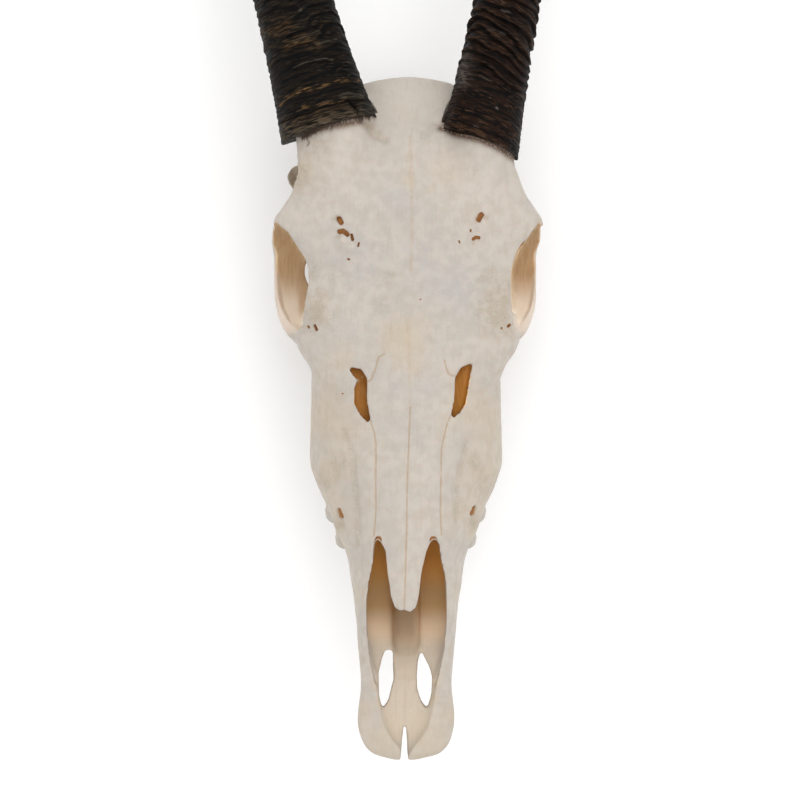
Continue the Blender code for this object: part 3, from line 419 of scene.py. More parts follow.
# Dirt, and painted shade at the edges of the small troughs and beside the eye sockets
GRIME_AND_SHADE = (
    (-56, 292, 7, 0.35), (-54, 268, 10, 0.85), (-58, 258, 5, 0.7), (56, 276, 11, 0.85),
    (58, 258, 7, 0.7), (52, 266, 11, 0.85), (-12, 288, 8, 0.3), (-36, 306, 8, 0.25), (-36, 178, 5, 0.4),
    (46, 166, 7, 0.5), (-49, 168, 7, 0.5), (-26, 62, 3.5, 0.5), (-25, 118, 3, 0.5), (40, 322, 6, 0.25),
    (-52, 366, 9, 0.4), (-66, 349, 8, 0.7), (-15, 272, 8, 0.25), (-42, 290, 9, 0.25),
    (-40.3, 140.5, 4.0, 0.95), (40.6, 142, 4.0, 0.95), (-50, 276, 6, 0.7), (50, 286, 8, 0.6),
    (-39.9, 311.6, 1.5, 0.9), (-38.6, 307.8, 1.3, 0.6), (47.3, 323.2, 1.4, 0.8),
    (-42.2, 321.6, 1.5, 0.9), (39.8, 307.6, 1.2, 0.7),
)
# Paler bone, and painted highlights on the floors of the small troughs (the first four patches)
PALE_AND_LIT = (
    (-36.8, 310.2, 2.4, 0.9), (46.0, 320.4, 1.8, 0.9), (41.6, 308.0, 1.5, 0.7),
    (-31.4, 306.4, 1.0, 0.7), (0, 402, 26, 0.75), (-24, 400, 18, 0.5), (24, 400, 18, 0.5),
    (0, 372, 14, 0.3),
)

# How each horn is ridged: spacing, height of the ridges, where they begin, how far they run aslant
# and bow upwards, the height of the wrinkles, a seed, and how far round the base tucks in below
# and reaches on over the bone at its inner side
HornLook = namedtuple("HornLook", "spacing ridge ridge_start slant bow wrinkle seed tuck inner_reach")
LOOKS = {
    "horn_left": HornLook(8.0, 1.0, 26, 0.02, 2.0, 1.1, 2.0, 0.0, 0.0),
    "horn_right": HornLook(6.6, 2.7, 20, 0.16, 3.0, 1.0, 9.0, 0.16, 1.3),
}
# Where the ridges end and from what share of that they fade, over what length they begin, and how
# far a horn stands out where it is ridged
RIDGE_END = 430.0
RIDGE_FADE = 0.55
RIDGE_BEGIN_LENGTH = 20
MEAN_RELIEF = 0.6
# The shape of a ridge: the share of its spacing where it rises, and how its far side falls
RIDGE_RISE = 0.22
RIDGE_FALL = 0.7
# Waves of the ridges: their size across and along the horn, how far they drift, and their unevenness
WAVE_SIZES = (30, 26)
RIDGE_DRIFT = 0.9
UNEVEN_SIZE = 0.45
UNEVEN_SEED = 5
UNEVEN_SHARE = 0.5
# Wrinkles between the ridges: their size across; their size along, height and seed; their least
# share, and the shares of the ridged length over which they fade to it
WRINKLE_ACROSS = 9
WRINKLES = ((2.1, 0.42, 11.0), (0.9, 0.22, 23.0))
WRINKLE_LEAST = 0.3
WRINKLE_FADE = (1.4, 0.7)
# Sides of a horn, and how much smaller its tip is than the solid's
HORN_SIDES = 160
TIP_SIDES = 24
TIP_ROOM = 0.03
TIP_LENGTH = 80
# Rings of a horn's mesh: close near its base, wider behind, and few towards the tip
FINE_RINGS = (0, 120, 0.4)
MIDDLE_RINGS = (120, 440, 1.0)
FAR_RINGS = 150
# The part of a horn that faces up; how its marks wander, by a noise of size and seeds; and how far
# its cracks and its golden streaks do
HORN_TOP = (-0.1, 0.25)
MARK_NOISE_SIZE = 2.0
MARK_NOISE_SEEDS = (4.0, 8.0)
CRACK_WANDER = 0.6
GOLDEN_WANDER = 0.9
# How far a sheath reaches over the bone, how far its lower half is drawn back, and over what length
BASE_REACH = 3.4
BASE_UNDERCUT = 5.5
BASE_LENGTH = 32.0
# How ragged the sheath's edge is: its depth, and its waves as count, share and seed
RAGGED_DEPTH = 0.9
RAGGED_WAVES = ((5, 1, 0), (17, 0.5, 3), (60, 0.35, 6))
# Cracks on the horns, as the photograph shows them: a line, its half width and its depth
CRACKS = {
    "horn_left": (
        (((-76.7, 381), (-69, 384.5), (-60, 387.2), (-51, 391), (-42, 393.4), (-34, 395),
          (-22, 395.8)), 0.4, 1.3),
        (((-76, 374.6), (-70, 378), (-61.4, 380.6), (-54, 382)), 0.4, 1.0),
        (((-33.6, 396), (-31.5, 393.5), (-29.5, 391.5)), 1.7, 2.4),
        (((-29.5, 391.5), (-28.4, 387), (-28.2, 382.5)), 0.55, 1.4),
        (((-73, 433), (-64, 436.5), (-52, 440)), 0.35, 0.6),
        (((-68, 413.5), (-58, 417.5), (-45, 419)), 0.35, 0.5),
        (((-70, 456), (-62, 458.5), (-50, 460.5)), 0.8, 1.3),
    ),
    "horn_right": (
        (((66, 363.5), (63.5, 366)), 1.0, 1.2),
        (((24, 385), (40, 380), (56, 373), (66, 367)), 0.3, 0.55),
    ),
}
# Streaks on the horns, as the photograph shows them: a line, its half width and its strength
GOLDEN = {
    "horn_left": (
        (((-76.5, 392), (-72, 397), (-62.5, 400.8), (-52, 403.4), (-40, 407), (-27, 407.4)), 0.9, 0.5),
        (((-66, 400), (-57, 402.8)), 1.1, 0.9), (((-88, 434), (-80, 437), (-72, 441)), 4.0, 0.2),
        (((-71, 428.5), (-62, 432), (-54, 428)), 3.0, 0.28),
        (((-62, 391), (-48, 393), (-34, 396)), 1.2, 0.4),
        (((-77, 376), (-66, 380), (-54, 383.5), (-30, 388)), 5.0, 0.22),
    ),
    "horn_right": (
        (((30, 418), (36, 406)), 3.0, 0.15), (((24, 383), (44, 376), (62, 366)), 1.6, 0.2),
    ),
}
# Worn grey patches, and painted glints and highlights on crests: a line, its half width and its
# strength
WEATHERED_AND_GLINTS = {
    "horn_left": (
        (((-68, 414.5), (-60, 418.5), (-49.4, 420.4), (-44, 420)), 0.4, 0.42),
        (((-68, 430.4), (-60, 433.8), (-52.4, 437)), 0.4, 0.45), (((-54, 429), (-42, 432)), 0.4, 0.4),
        (((-63.9, 449.2), (-62.9, 449.4)), 0.6, 1.0), (((-50.6, 381.2), (-48, 381.8)), 0.6, 0.9),
        (((-41.8, 383.6), (-41, 383.8)), 0.5, 0.7), (((-38, 398), (-26, 398.5)), 1.6, 0.35),
        (((-77, 373), (-60, 379), (-40, 384), (-22, 389)), 5.0, 0.26),
    ),
    "horn_right": (
        (((34.5, 419), (33.5, 408)), 4.5, 0.5), (((57, 449.4), (62, 448.4)), 0.6, 0.45),
        (((49, 438.6), (59, 435)), 0.6, 0.35), (((44, 410.4), (51, 407.4)), 0.6, 0.4),
        (((54.2, 390.8), (54.8, 390.4)), 0.6, 1.0), (((40.6, 380), (43, 379.4)), 0.6, 0.5),
        (((22, 380.5), (28.4, 376.2), (44.9, 372), (57.3, 367), (66.6, 360.4)), 0.7, 0.5),
    ),
}
# Skin's remains and painted shadow that darken the bone: a line, its half width and its strength
STAINS_AND_SHADOW = (
    (((-60, 373), (-52.4, 374.8), (-38, 377.6), (-27, 379.8)), 2.4, 0.95),
    (((-27, 379.8), (-20, 378)), 2.6, 0.3),
    (((-58.9, 370.5), (-57.4, 367.4), (-58.6, 365.6)), 0.6, 0.8),
    (((-52.6, 376), (-51, 372.6), (-49.8, 371.4)), 0.4, 0.6), (((-55, 374), (-56.6, 370.4)), 0.4, 0.6),
    (((20.4, 376.6), (28.6, 373.2), (43.4, 368.8), (55.1, 363.6), (65, 357.4)), 2.3, 1.0),
    # Painted shadow under the cuff of the right sheath
    (((23, 379), (29, 376.4), (36, 373.8)), 2.6, 1.0),
)
# Hairs along the base of each horn: how many, their longest, and the share of the edge with them
Fringe = namedtuple("Fringe", "hairs longest first last")
FRINGES = {"horn_left": Fringe(1500, 2.6, 0.06, 0.40), "horn_right": Fringe(500, 0.7, 0.03, 0.33)}
EDGE_PLACES = 720
HAIR_RADIUS = 0.17
HAIR_LIFT = 0.35
HAIR_SET_IN = 0.6
HAIR_SPREAD = 0.55
HAIR_SHORTEST = 0.15
HAIR_POWER = 1.5
HAIR_JOINTS = 4
HAIR_TAPER = 3.6
HAIR_FLATNESS = 0.3

# Colours, as linear light
BONE_LIGHT = (0.49, 0.44, 0.385)
BONE_DARK = (0.452, 0.40, 0.342)
BONE_COOL = (0.40, 0.38, 0.362)
BONE_PALE_AND_LIT = (0.60, 0.545, 0.48)
BONE_WARM = (0.49, 0.395, 0.275)
BONE_TAN = (0.37, 0.31, 0.23)
BONE_GRIME = (0.235, 0.19, 0.145)
SEAM_TONE = (0.36, 0.22, 0.10)
NOSE_PALE = (0.70, 0.53, 0.37)
NOSE_MIDDLE = (0.52, 0.33, 0.155)
NOSE_DEEP = (0.84, 0.42, 0.11)
NOSE_FAR = (0.50, 0.205, 0.034)
NOSE_STREAK = (0.30, 0.115, 0.018)
HOLE_TONE = (0.30, 0.132, 0.04)
SHELF_TONE = (0.54, 0.46, 0.37)
VOMER_SHADE_TONE = (0.26, 0.165, 0.09)
SOCKET_TONE = (0.62, 0.455, 0.28)
SOCKET_STREAK = (0.46, 0.27, 0.14)
SOCKET_PAINTED_LIGHT = (0.90, 0.82, 0.72)
LIP_PAINTED_LIGHT = (0.59, 0.49, 0.40)
STAIN_AND_SHADOW_TONE = (0.10, 0.055, 0.03)
# Horn tones; light also paints highlights on the ridge crests, and dark paints shade in the grooves
HornTones = namedtuple("HornTones", "dark brown light golden weathered crack")
CRACK_TONE = (0.002, 0.0015, 0.001)
HORN_TONES = {
    "horn_left": HornTones(
        (0.0022, 0.0022, 0.0023), (0.0085, 0.006, 0.0042), (0.044, 0.03, 0.018),
        (0.18, 0.10, 0.04), (0.12, 0.105, 0.08), CRACK_TONE,
    ),
    "horn_right": HornTones(
        (0.003, 0.0022, 0.002), (0.0145, 0.0072, 0.0045), (0.062, 0.033, 0.019),
        (0.13, 0.065, 0.032), (0.13, 0.11, 0.10), CRACK_TONE,
    ),
}
HAIR_TONES = {"horn_left": (0.075, 0.046, 0.027), "horn_right": (0.07, 0.045, 0.025)}

# Noises of the bone: size in millimetres, detail, stretch and shift
BONE_GRAINS = {
    "broad": (24, 3.0, (1, 1, 1), 0.0),
    "mottle": (6, 4.0, (1, 1, 1), 3.0),
    "fine": (1.0, 3.0, (1, 1, 1), 7.0),
    "streak": (1.3, 3.0, (1, 9, 5), 1.0),
    "line": (4.5, 3.0, (1, 1, 1), 11.0),
}
# Specks in the bone, as size and reach, the share of them that is full, and how thin a scratch is
DOTS = (2.2, 0.16)
PORES = (1.6, 0.14)
SPECK_CORE = 0.4
SCRATCH_WIDTH = 0.016
# The inputs of a mix for its two colours
MIX_BELOW, MIX_ABOVE = 6, 7
# Layers of colour on the bone, each with its factors: a strength, or a noise or stored number with
# the range that it is taken from and the range that it is taken to
BONE_LAYERS = (
    (BONE_DARK, ("mottle", 0.36, 0.66)),
    (BONE_COOL, ("broad", 0.42, 0.7, 0, 0.4)),
    (SHELF_TONE, ("shelf",)),
    (BONE_COOL, ("cool",), ("mottle", 0.3, 0.62, 0.35, 1)),
    (BONE_WARM, ("warm",), 0.6),
    # Paler bone and painted highlights
    (BONE_PALE_AND_LIT, ("pale_and_lit",)),
    (BONE_TAN, ("streak", 0.52, 0.72, 0, 0.22)),
    (BONE_GRIME, ("dots",), ("broad", 0.5, 0.6, 0, 0.5)),
    # Dirt and painted shade, from the patches and along the creases
    (BONE_TAN, ("grime_and_shade",), ("mottle", 0.35, 0.6, 0.45, 0.8)),
    (BONE_GRIME, ("scratch",), ("grime_and_shade", 0.08, 0.3, 0, 0.24)),
    (SEAM_TONE, ("faint",), 0.3),
    (SEAM_TONE, ("seam",), 0.8),
    (SOCKET_TONE, ("socket",), 0.95),
    (SOCKET_STREAK, ("socket",), ("streak", 0.45, 0.62, 0, 0.35)),
    # Painted light on the front of each eye socket
    (SOCKET_PAINTED_LIGHT, ("front",)),
    # Painted light on the shaded edge at the front of each eye socket
    (LIP_PAINTED_LIGHT, ("lip_painted_light",), 0.9),
    (NOSE_PALE, ("cavity", 0.0, 0.14)),
    (NOSE_MIDDLE, ("cavity", 0.16, 0.42)),
    (NOSE_DEEP, ("cavity", 0.5, 0.92)),
    (NOSE_FAR, ("far", 0.15, 0.6)),
    (NOSE_STREAK, ("far", 0.15, 0.6), ("streak", 0.45, 0.62, 0, 0.4)),
    (HOLE_TONE, ("hole", 0.1, 0.6)),
    # Painted shade along the middle of the nose floor
    (VOMER_SHADE_TONE, ("vomer",), 0.9),
    # Skin's remains, and painted shadow under the sheaths' edges
    (STAIN_AND_SHADOW_TONE, ("stain_and_shadow",), ("fine", 0.2, 0.5)),
)
BONE_ROUGHNESS = ("mottle", 0.3, 0.7, 0.52, 0.7)
BONE_RELIEF = ((("fine",), 0.5), (("mottle",), 0.8), (("pores",), -0.5))
BONE_BUMP = {"Strength": 0.5, "Distance": 0.0005}
BONE_SHADER = {"Specular IOR Level": 0.3, "Subsurface Weight": 0.08, "Subsurface Scale": 0.003}
# The same for the horns; the noises run along a horn, and by this length across it
HORN_ROUND = 0.002
HORN_GRAINS = {
    "fibre": (1.5, 4.0, (0.8, 0.8, 1), 0.0),
    "thread": (0.85, 4.0, (0.55, 0.55, 1), 5.0),
    "band": (5.0, 3.0, (1, 1, 1), 9.0),
}
HORN_LAYERS = (
    ("brown", ("fibre", 0.42, 0.6)),
    ("light", ("thread", 0.53, 0.66), ("band", 0.4, 0.62, 0.12, 0.8)),
    # Painted highlights on the ridge crests
    ("light", ("crest", 0.62, 0.95, 0, 0.6), ("thread", 0.42, 0.6, 0.2, 1)),
    # Painted shade in the grooves between the ridges
    ("dark", ("crest", 0.4, 0.1, 0, 0.85)),
    ("golden", ("golden",), ("thread", 0.45, 0.58, 0.08, 1)),
    # Worn grey streaks and painted glints
    ("weathered", ("weathered",), ("thread", 0.4, 0.56, 0.1, 1)),
    ("crack", ("crack",)),
)
HORN_ROUGHNESS = ("fibre", 0.3, 0.7, 0.45, 0.7)
HORN_RELIEF = ((("fibre",), 0.8), (("thread",), 0.5))
HORN_BUMP = {"Strength": 0.7, "Distance": 0.0006}
HORN_SHADER = {"Specular IOR Level": 0.05}
HAIR_ROUGHNESS = 0.7

# Camera, in millimetres: the plane where the frame's width is measured, and the rise above it
FRAME_WIDTH = 480.0
PLANE_HEIGHT = 115.0
CAMERA_RISE = 2400.0
VIEW_CENTRE = (-3.8, 215.4)
FACE_HEIGHT = 157.0
SENSOR_WIDTH = 36
# Floor and light, in metres: the floor's tone, roughness and half width, the brightness all round,
# and the soft lamp's width, power, place and target
FLOOR_TONE = (0.97, 0.97, 0.97)
FLOOR_ROUGHNESS = 0.9
FLOOR_REACH = 6
VIEW_DEPTH = 20
WORLD_LIGHT = 1.05
LAMP_WIDTH = 1.6
LAMP_POWER = 16
LAMP_PLACE = (0.3, 0.1, 2.2)
LAMP_TARGET = (0, -0.35, 0.1)


def smooth_through(keys, values, places):
    """Values on a smooth curve through the keys, which never swings past them."""
    keys = np.asarray(keys, float)
    values = np.asarray(values, float)
    slopes = np.diff(values, axis=0) / np.diff(keys)[:, None]
    tangents = np.zeros_like(values)
    product = slopes[:-1] * slopes[1:]
    total = slopes[:-1] + slopes[1:]
    same_way = product > 0
    tangents[1:-1] = np.where(same_way, 2 * product / np.where(same_way, total, 1), 0)
    tangents[0] = slopes[0]
    tangents[-1] = slopes[-1]
    span = np.clip(np.searchsorted(keys, places, side="right") - 1, 0, len(keys) - 2)
    width = (keys[span + 1] - keys[span])[:, None]
    t = (np.asarray(places)[:, None] - keys[span][:, None]) / width
    return (
        values[span] * (1 + 2 * t) * (1 - t) ** 2
        + tangents[span] * width * t * (1 - t) ** 2
        + values[span + 1] * t**2 * (3 - 2 * t)
        + tangents[span + 1] * width * t**2 * (t - 1)
    )


def new_piece(name, bm):
    """An object from a bmesh, with its faces turned outwards."""
    bmesh.ops.recalc_face_normals(bm, faces=bm.faces)
    mesh = bpy.data.meshes.new(name)
    bm.to_mesh(mesh)
    bm.free()
    piece = bpy.data.objects.new(name, mesh)
    bpy.context.scene.collection.objects.link(piece)
    return piece


def skin_rings(name, rings):
    """A closed skin over rings of equally many points, given in millimetres."""
    bm = bmesh.new()
    loops = [[bm.verts.new(Vector(point) * MM) for point in ring] for ring in rings]
    count = len(loops[0])
    for lower, upper in zip(loops, loops[1:]):
        for i in range(count):
            j = (i + 1) % count
            bm.faces.new((lower[i], lower[j], upper[j], upper[i]))
    bm.faces.new(loops[0])
    bm.faces.new(loops[-1])
    return new_piece(name, bm)


def rounded(value, power):
    return math.copysign(abs(value) ** (2 / power), value)


def section(station, sides):
    """One ring of a form, across the skull."""
    ring = []
    for step in range(sides):
        angle = math.tau * step / sides
        upper = math.sin(angle) >= 0
        power = station.crown_power if upper else station.base_power
        rise = station.crown - station.waist if upper else station.waist - station.base
        x = station.half * rounded(math.cos(angle), power)
        z = station.waist + rise * rounded(math.sin(angle), power)
        ring.append((x, station.reach, z))
    return ring


def form(name, profile, spacing=3.0, sides=64):
    """A closed form swept along the skull through its cross sections."""
    keys = [station.reach for station in profile]
    places = np.linspace(keys[0], keys[-1], int((keys[-1] - keys[0]) / spacing) + 2)
    values = smooth_through(keys, [station[1:] for station in profile], places)
    rings = [section(Station(y, *row), sides) for y, row in zip(places, values)]
    return skin_rings(name, rings)


def tube(name, stops, side=1, rings=28, sides=20):
    """A closed tube through its stops, mirrored where side is -1."""
    stops = np.array(stops, float)
    stops[:, 0] *= side
    steps = np.linalg.norm(np.diff(stops[:, :3], axis=0), axis=1)
    keys = np.concatenate(([0], np.cumsum(steps)))
    rows = smooth_through(keys, stops, np.linspace(0, keys[-1], rings))
    loops = []
    for index, row in enumerate(rows):
        ahead = rows[min(index + 1, rings - 1)][:3] - rows[max(index - 1, 0)][:3]
        ahead = Vector(ahead).normalized()
        flat = ahead.cross(Vector((0, 0, 1)))
        if flat.length < STEEPEST:
            flat = ahead.cross(Vector((0, 1, 0)))
        flat.normalize()
        lift = flat.cross(ahead)
        centre = Vector(row[:3])
        wide, high = flat * row[3], lift * row[4]
        angles = [math.tau * step / sides for step in range(sides)]
        loops.append([centre + wide * math.cos(a) + high * math.sin(a) for a in angles])
    return skin_rings(name, loops)


def both_sides(name, stops):
    return [tube(f"{name}_{side}", stops, side) for side in (-1, 1)]


def ellipsoid(name, centre, radii, side=1):
    bm = bmesh.new()
    bmesh.ops.create_uvsphere(bm, u_segments=40, v_segments=24, radius=1)
    for vert in bm.verts:
        for axis in range(3):
            offset = centre[axis] * (side if axis == 0 else 1)
            vert.co[axis] = (vert.co[axis] * radii[axis] + offset) * MM
    return new_piece(name, bm)


def prism(name, outline, low, high):
    """A wall-sided block over an outline seen from above."""
    bm = bmesh.new()
    foot = bm.faces.new([bm.verts.new((x * MM, y * MM, low * MM)) for x, y in outline])
    grown = bmesh.ops.extrude_face_region(bm, geom=[foot])
    top = [item for item in grown["geom"] if isinstance(item, bmesh.types.BMVert)]
    bmesh.ops.translate(bm, verts=top, vec=(0, 0, (high - low) * MM))
    bmesh.ops.triangulate(bm, faces=bm.faces)
    return new_piece(name, bm)


def drill(name, mouth, end, radius, sides=28):
    """A round hole from its mouth to its end."""
    start = Vector(mouth)
    way = (Vector(end) - start).normalized()
    flat = way.orthogonal().normalized()
    lift = way.cross(flat)
    rings = []
    for centre in (start, Vector(end)):
        angles = [math.tau * step / sides for step in range(sides)]
        rings.append([centre + (flat * math.cos(a) + lift * math.sin(a)) * radius for a in angles])
    return skin_rings(name, rings)


def tooth(name, place, side, sides=24):
    """A cheek tooth with two lobes, from its root to its worn crown."""
    y, outer, length, width, gum = place
    axis = Vector((0, -math.sin(PALATE_SLOPE), -math.cos(PALATE_SLOPE)))
    ahead = Vector((0, math.cos(PALATE_SLOPE), -math.sin(PALATE_SLOPE)))
    centre = Vector((outer - width / 2, y, gum))
    rings = []
    for depth, share in TOOTH_RINGS:
        ring = []
        for step in range(sides):
            angle = math.tau * step / sides
            along = rounded(math.cos(angle), TOOTH_POWER) * length / 2 * share
            across = rounded(math.sin(angle), TOOTH_POWER) * width / 2 * share
            across *= 1 - TOOTH_FOLD * math.cos(math.tau * along / length) ** 2
            point = centre + axis * depth + ahead * along
            ring.append((side * (point.x + across), point.y, point.z))
        rings.append(ring)
    return skin_rings(name, rings)


def settle(piece):
    """Keep the shape that a piece's modifiers give, and drop the modifiers."""
    graph = bpy.context.evaluated_depsgraph_get()
    mesh = bpy.data.meshes.new_from_object(piece.evaluated_get(graph))
    piece.modifiers.clear()
    old = piece.data
    piece.data = mesh
    bpy.data.meshes.remove(old)


def melt(name, pieces, voxel, smoothing):
    """One closed body from overlapping pieces, with soft joins."""
    bm = bmesh.new()
    for piece in pieces:
        bm.from_mesh(piece.data)
        bpy.data.objects.remove(piece, do_unlink=True)
    body = new_piece(name, bm)
    remesh = body.modifiers.new("Melt", "REMESH")
    remesh.mode = "VOXEL"
    remesh.voxel_size = voxel * MM
    if smoothing:
        smooth = body.modifiers.new("Soften", "SMOOTH")
        smooth.iterations = smoothing
        smooth.factor = 0.5
    settle(body)
    return body


def combine(body, other, operation):
    """Cut a closed body with another one, or keep what they share."""
    cut = body.modifiers.new("Cut", "BOOLEAN")
    cut.object = other
    cut.operation = operation
    cut.solver = "MANIFOLD"
    settle(body)
    bpy.data.objects.remove(other, do_unlink=True)


def keep_largest(piece):
    """Drop loose scraps: only the largest closed surface stays."""
    bm = bmesh.new()
    bm.from_mesh(piece.data)
    left = set(bm.verts)
    groups = []
    while left:
        group = {left.pop()}
        front = list(group)
        while front:
            near = {e.other_vert(v) for v in front for e in v.link_edges} & left
            left -= near
            group |= near
            front = list(near)
        groups.append(group)
    groups.sort(key=len)
    for group in groups[:-1]:
        bmesh.ops.delete(bm, geom=list(group), context="VERTS")
    bm.to_mesh(piece.data)
    bm.free()


def pedicle(horn):
    """The bony stump that carries a horn, a little narrower than the horn's mouth."""
    width = horn.across + horn.flare - PEDICLE_SET_IN
    depth = horn.deep + horn.flare - PEDICLE_SET_IN
    x = math.copysign(PEDICLE_EDGE - width, horn.x) - PEDICLE_SHIFT
    stops = [
        (x * across, horn.y + along, horn.z + up, width * wide, depth * deep)
        for across, along, up, wide, deep in PEDICLE_STOPS
    ]
    return tube("pedicle", stops)


def bone_forms():
    """Everything that is bone, before the hollows are cut."""
    forms = [form(name, profile) for name, profile in MAIN_FORMS.items()]
    forms += [tube(name, stops) for name, stops in MIDDLE_TUBES.items()]
    for name, stops in PAIRED_TUBES.items():
        forms += both_sides(name, stops)
    forms.append(ellipsoid("lump", LUMP["centre"], LUMP["radii"]))
    return forms + [pedicle(horn) for horn in HORNS.values()]


def hollows():
    """The nose, the eye sockets and the other large openings."""
    cuts = [
        form("nose_tunnel", NOSE_TUNNEL),
        form("nose_basin", NOSE_BASIN),
        form("palate_vault", PALATE_VAULT),
        drill("foramen_magnum", *FORAMEN_MAGNUM),
    ]
    cuts += [ellipsoid("temple", TEMPLE["centre"], TEMPLE["radii"], side) for side in (-1, 1)]
    cuts += [ellipsoid("slot", slot["centre"], slot["radii"]) for slot in SOCKET_SLOTS]
    return cuts


def lean(body):
    """The skull leans a little to one side, more at the brow than at the muzzle."""
    for vert in body.data.vertices:
        share = (vert.co.y / MM - LEAN_START) / LEAN_LENGTH
        vert.co.x += LEAN_AT_BROW * share * (vert.co.z - LEAN_HEIGHT * MM)


def eye_bowl(side, steps=16, sides=48):
    """The bowl of an eye socket, open upwards."""
    (x, y, z), (across, along, depth) = EYE_BOWL["centre"], EYE_BOWL["radii"]
    shares = [math.sin(math.pi / 2 * step / steps) for step in range(1, steps + 1)]
    levels = [(share, z - depth * math.sqrt(1 - share**2)) for share in shares]
    loops = []
    for share, height in (*levels, (1, EYE_BOWL_TOP)):
        loops.append([
            (side * x + across * share * math.cos(angle), y + along * share * math.sin(angle), height)
            for angle in even_angles(sides)
        ])
    return skin_rings("eye_bowl", loops)


def carve_outlines(body):
    """Openings whose outline shows from above."""
    for side, outline in zip((-1, 1), SOCKET_OUTLINES):
        socket = prism("socket", outline, SOCKET_CUT_LOW, ABOVE_ALL)
        combine(socket, eye_bowl(side), "INTERSECT")
        combine(body, socket, "DIFFERENCE")
    combine(body, prism("nose_opening", NOSE_OPENING, NOSE_OPENING_LOW, ABOVE_ALL), "DIFFERENCE")
    for outline in (*PALATINE_FISSURES, MUZZLE_NOTCH):
        combine(body, prism("through", outline, THROUGH_PALATE, ABOVE_ALL), "DIFFERENCE")
    for outline in SIDE_GAPS:
        combine(body, prism("side_gap", outline, SIDE_GAP_LOW, ABOVE_ALL), "DIFFERENCE")


def horn_places(horn, places):
    """Centres along a horn that runs down from its base until its tip lies on the floor."""
    drop = horn.z - HORN_TIP_RADIUS
    level = math.sqrt(HORN_LENGTH**2 - drop**2) / HORN_LENGTH
    fine = np.linspace(0, HORN_LENGTH, HORN_STEPS)
    angles = np.radians(horn.lean + horn.bend * fine / HORN_LENGTH)
    step = level * (fine[1] - fine[0])
    across = horn.x + np.concatenate(([0], np.cumsum(np.sin(angles[1:]) * step)))
    along = horn.y + np.concatenate(([0], np.cumsum(np.cos(angles[1:]) * step)))
    share = fine / HORN_LENGTH
    height = horn.z - drop * ((1 - BACKWARD_CURVE) * share + BACKWARD_CURVE * share**2)
    rows = (across, along, height)
    return [Vector([np.interp(place, fine, row) for row in rows]) for place in places]


def horn_size(horn, places):
    """Smooth radii of a horn, across and deep, without its rings."""
    taper = (1 - places / HORN_LENGTH) ** HORN_TAPER
    flare = horn.flare * np.exp(-places / FLARE_LENGTH)
    across = HORN_TIP_RADIUS + (horn.across - HORN_TIP_RADIUS) * taper + flare
    deep = HORN_TIP_RADIUS + (horn.deep - HORN_TIP_RADIUS) * taper + flare
    return across, deep


def horn_rings(horn, places, angles, relief):
    """Points along and around a horn; the relief is how far its surface stands out."""
    centres = np.array(horn_places(horn, places))
    ahead = np.array(horn_places(horn, places + 1)) - np.array(horn_places(horn, places - 1))
    ahead[-1] = ahead[-2]
    ahead /= np.linalg.norm(ahead, axis=1)[:, None]
    flat = np.cross(ahead, (0, 0, 1))
    flat /= np.linalg.norm(flat, axis=1)[:, None]
    lift = np.cross(flat, ahead)
    across, deep = horn_size(horn, places)
    wide = (across[:, None] + relief) * np.cos(angles)
    tall = (deep[:, None] + relief) * np.sin(angles)
    forward = -horn.slant * wide * (1 - places[:, None] / HORN_LENGTH)
    sideways = flat[:, None] * wide[..., None] + lift[:, None] * tall[..., None]
    return centres[:, None] + sideways + ahead[:, None] * forward[..., None]


def even_angles(sides):
    return np.arange(sides) * math.tau / sides


def make_room_for_horn(body, horn):
    """Cut the bone back to the plane where the horn begins."""
    rings = horn_rings(horn, np.array(ROOM_PLACES), even_angles(HORN_SIDES), ROOM_ROUND_HORN)
    ahead = rings[1].mean(axis=0) - rings[0].mean(axis=0)
    rings[0] -= ahead / np.linalg.norm(ahead) * SEAM_GAP
    combine(body, skin_rings("room", rings), "DIFFERENCE")


def on_face(spot):
    """Where a mark on the face lies that the photograph shows at this place."""
    nearer = (CAMERA_RISE + PLANE_HEIGHT - FACE_HEIGHT) / CAMERA_RISE
    return tuple(middle + (value - middle) * nearer for value, middle in zip(spot, VIEW_CENTRE))


def points_of(body):
    count = len(body.data.vertices)
    points = np.empty(count * 3)
    normals = np.empty(count * 3)
    body.data.vertices.foreach_get("co", points)
    body.data.vertices.foreach_get("normal", normals)
    return points.reshape(-1, 3) / MM, normals.reshape(-1, 3)


def set_points(body, points):
    body.data.vertices.foreach_set("co", (points * MM).ravel())
    body.data.update()


def distance_to(points, line):
    """Distance in plan from every point to a line of corners."""
    best = np.full(len(points), FAR_AWAY)
    flat = points[:, :Z]
    for start, end in zip(np.array(line[:-1], float), np.array(line[1:], float)):
        along = end - start
        t = np.clip((flat - start) @ along / (along @ along), 0, 1)
        gap = np.linalg.norm(flat - start - t[:, None] * along, axis=1)
        best = np.minimum(best, gap)
    return best


def step_up(low, high, value):
    """A smooth step from 0 at the low end to 1 at the high end."""
    t = np.clip((value - low) / (high - low), 0, 1)
    return t * t * (3 - 2 * t)


def zone(name, points):
    """How far inside the soft limits of a zone a point lies, from 0 to 1."""
    share = np.ones(len(points))
    for axis, start, full in ZONES[name]:
        share *= step_up(start, full, points[:, axis])
    return share


def fading(gap, size):
    """How strong a soft mark is at some distance from it, from 1 down to 0."""
    return np.exp(-((gap / size) ** 2))


def line_at(rows, places):
    """The value of a line of (place, value) at some places."""
    return np.interp(places, *np.array(rows, float).T)


def store(body, name, values):
    """Keep a number for each point of a piece, which its material reads."""
    layer = body.data.attributes.new(name, "FLOAT", "POINT")
    layer.data.foreach_set("value", np.asarray(values, np.float32))


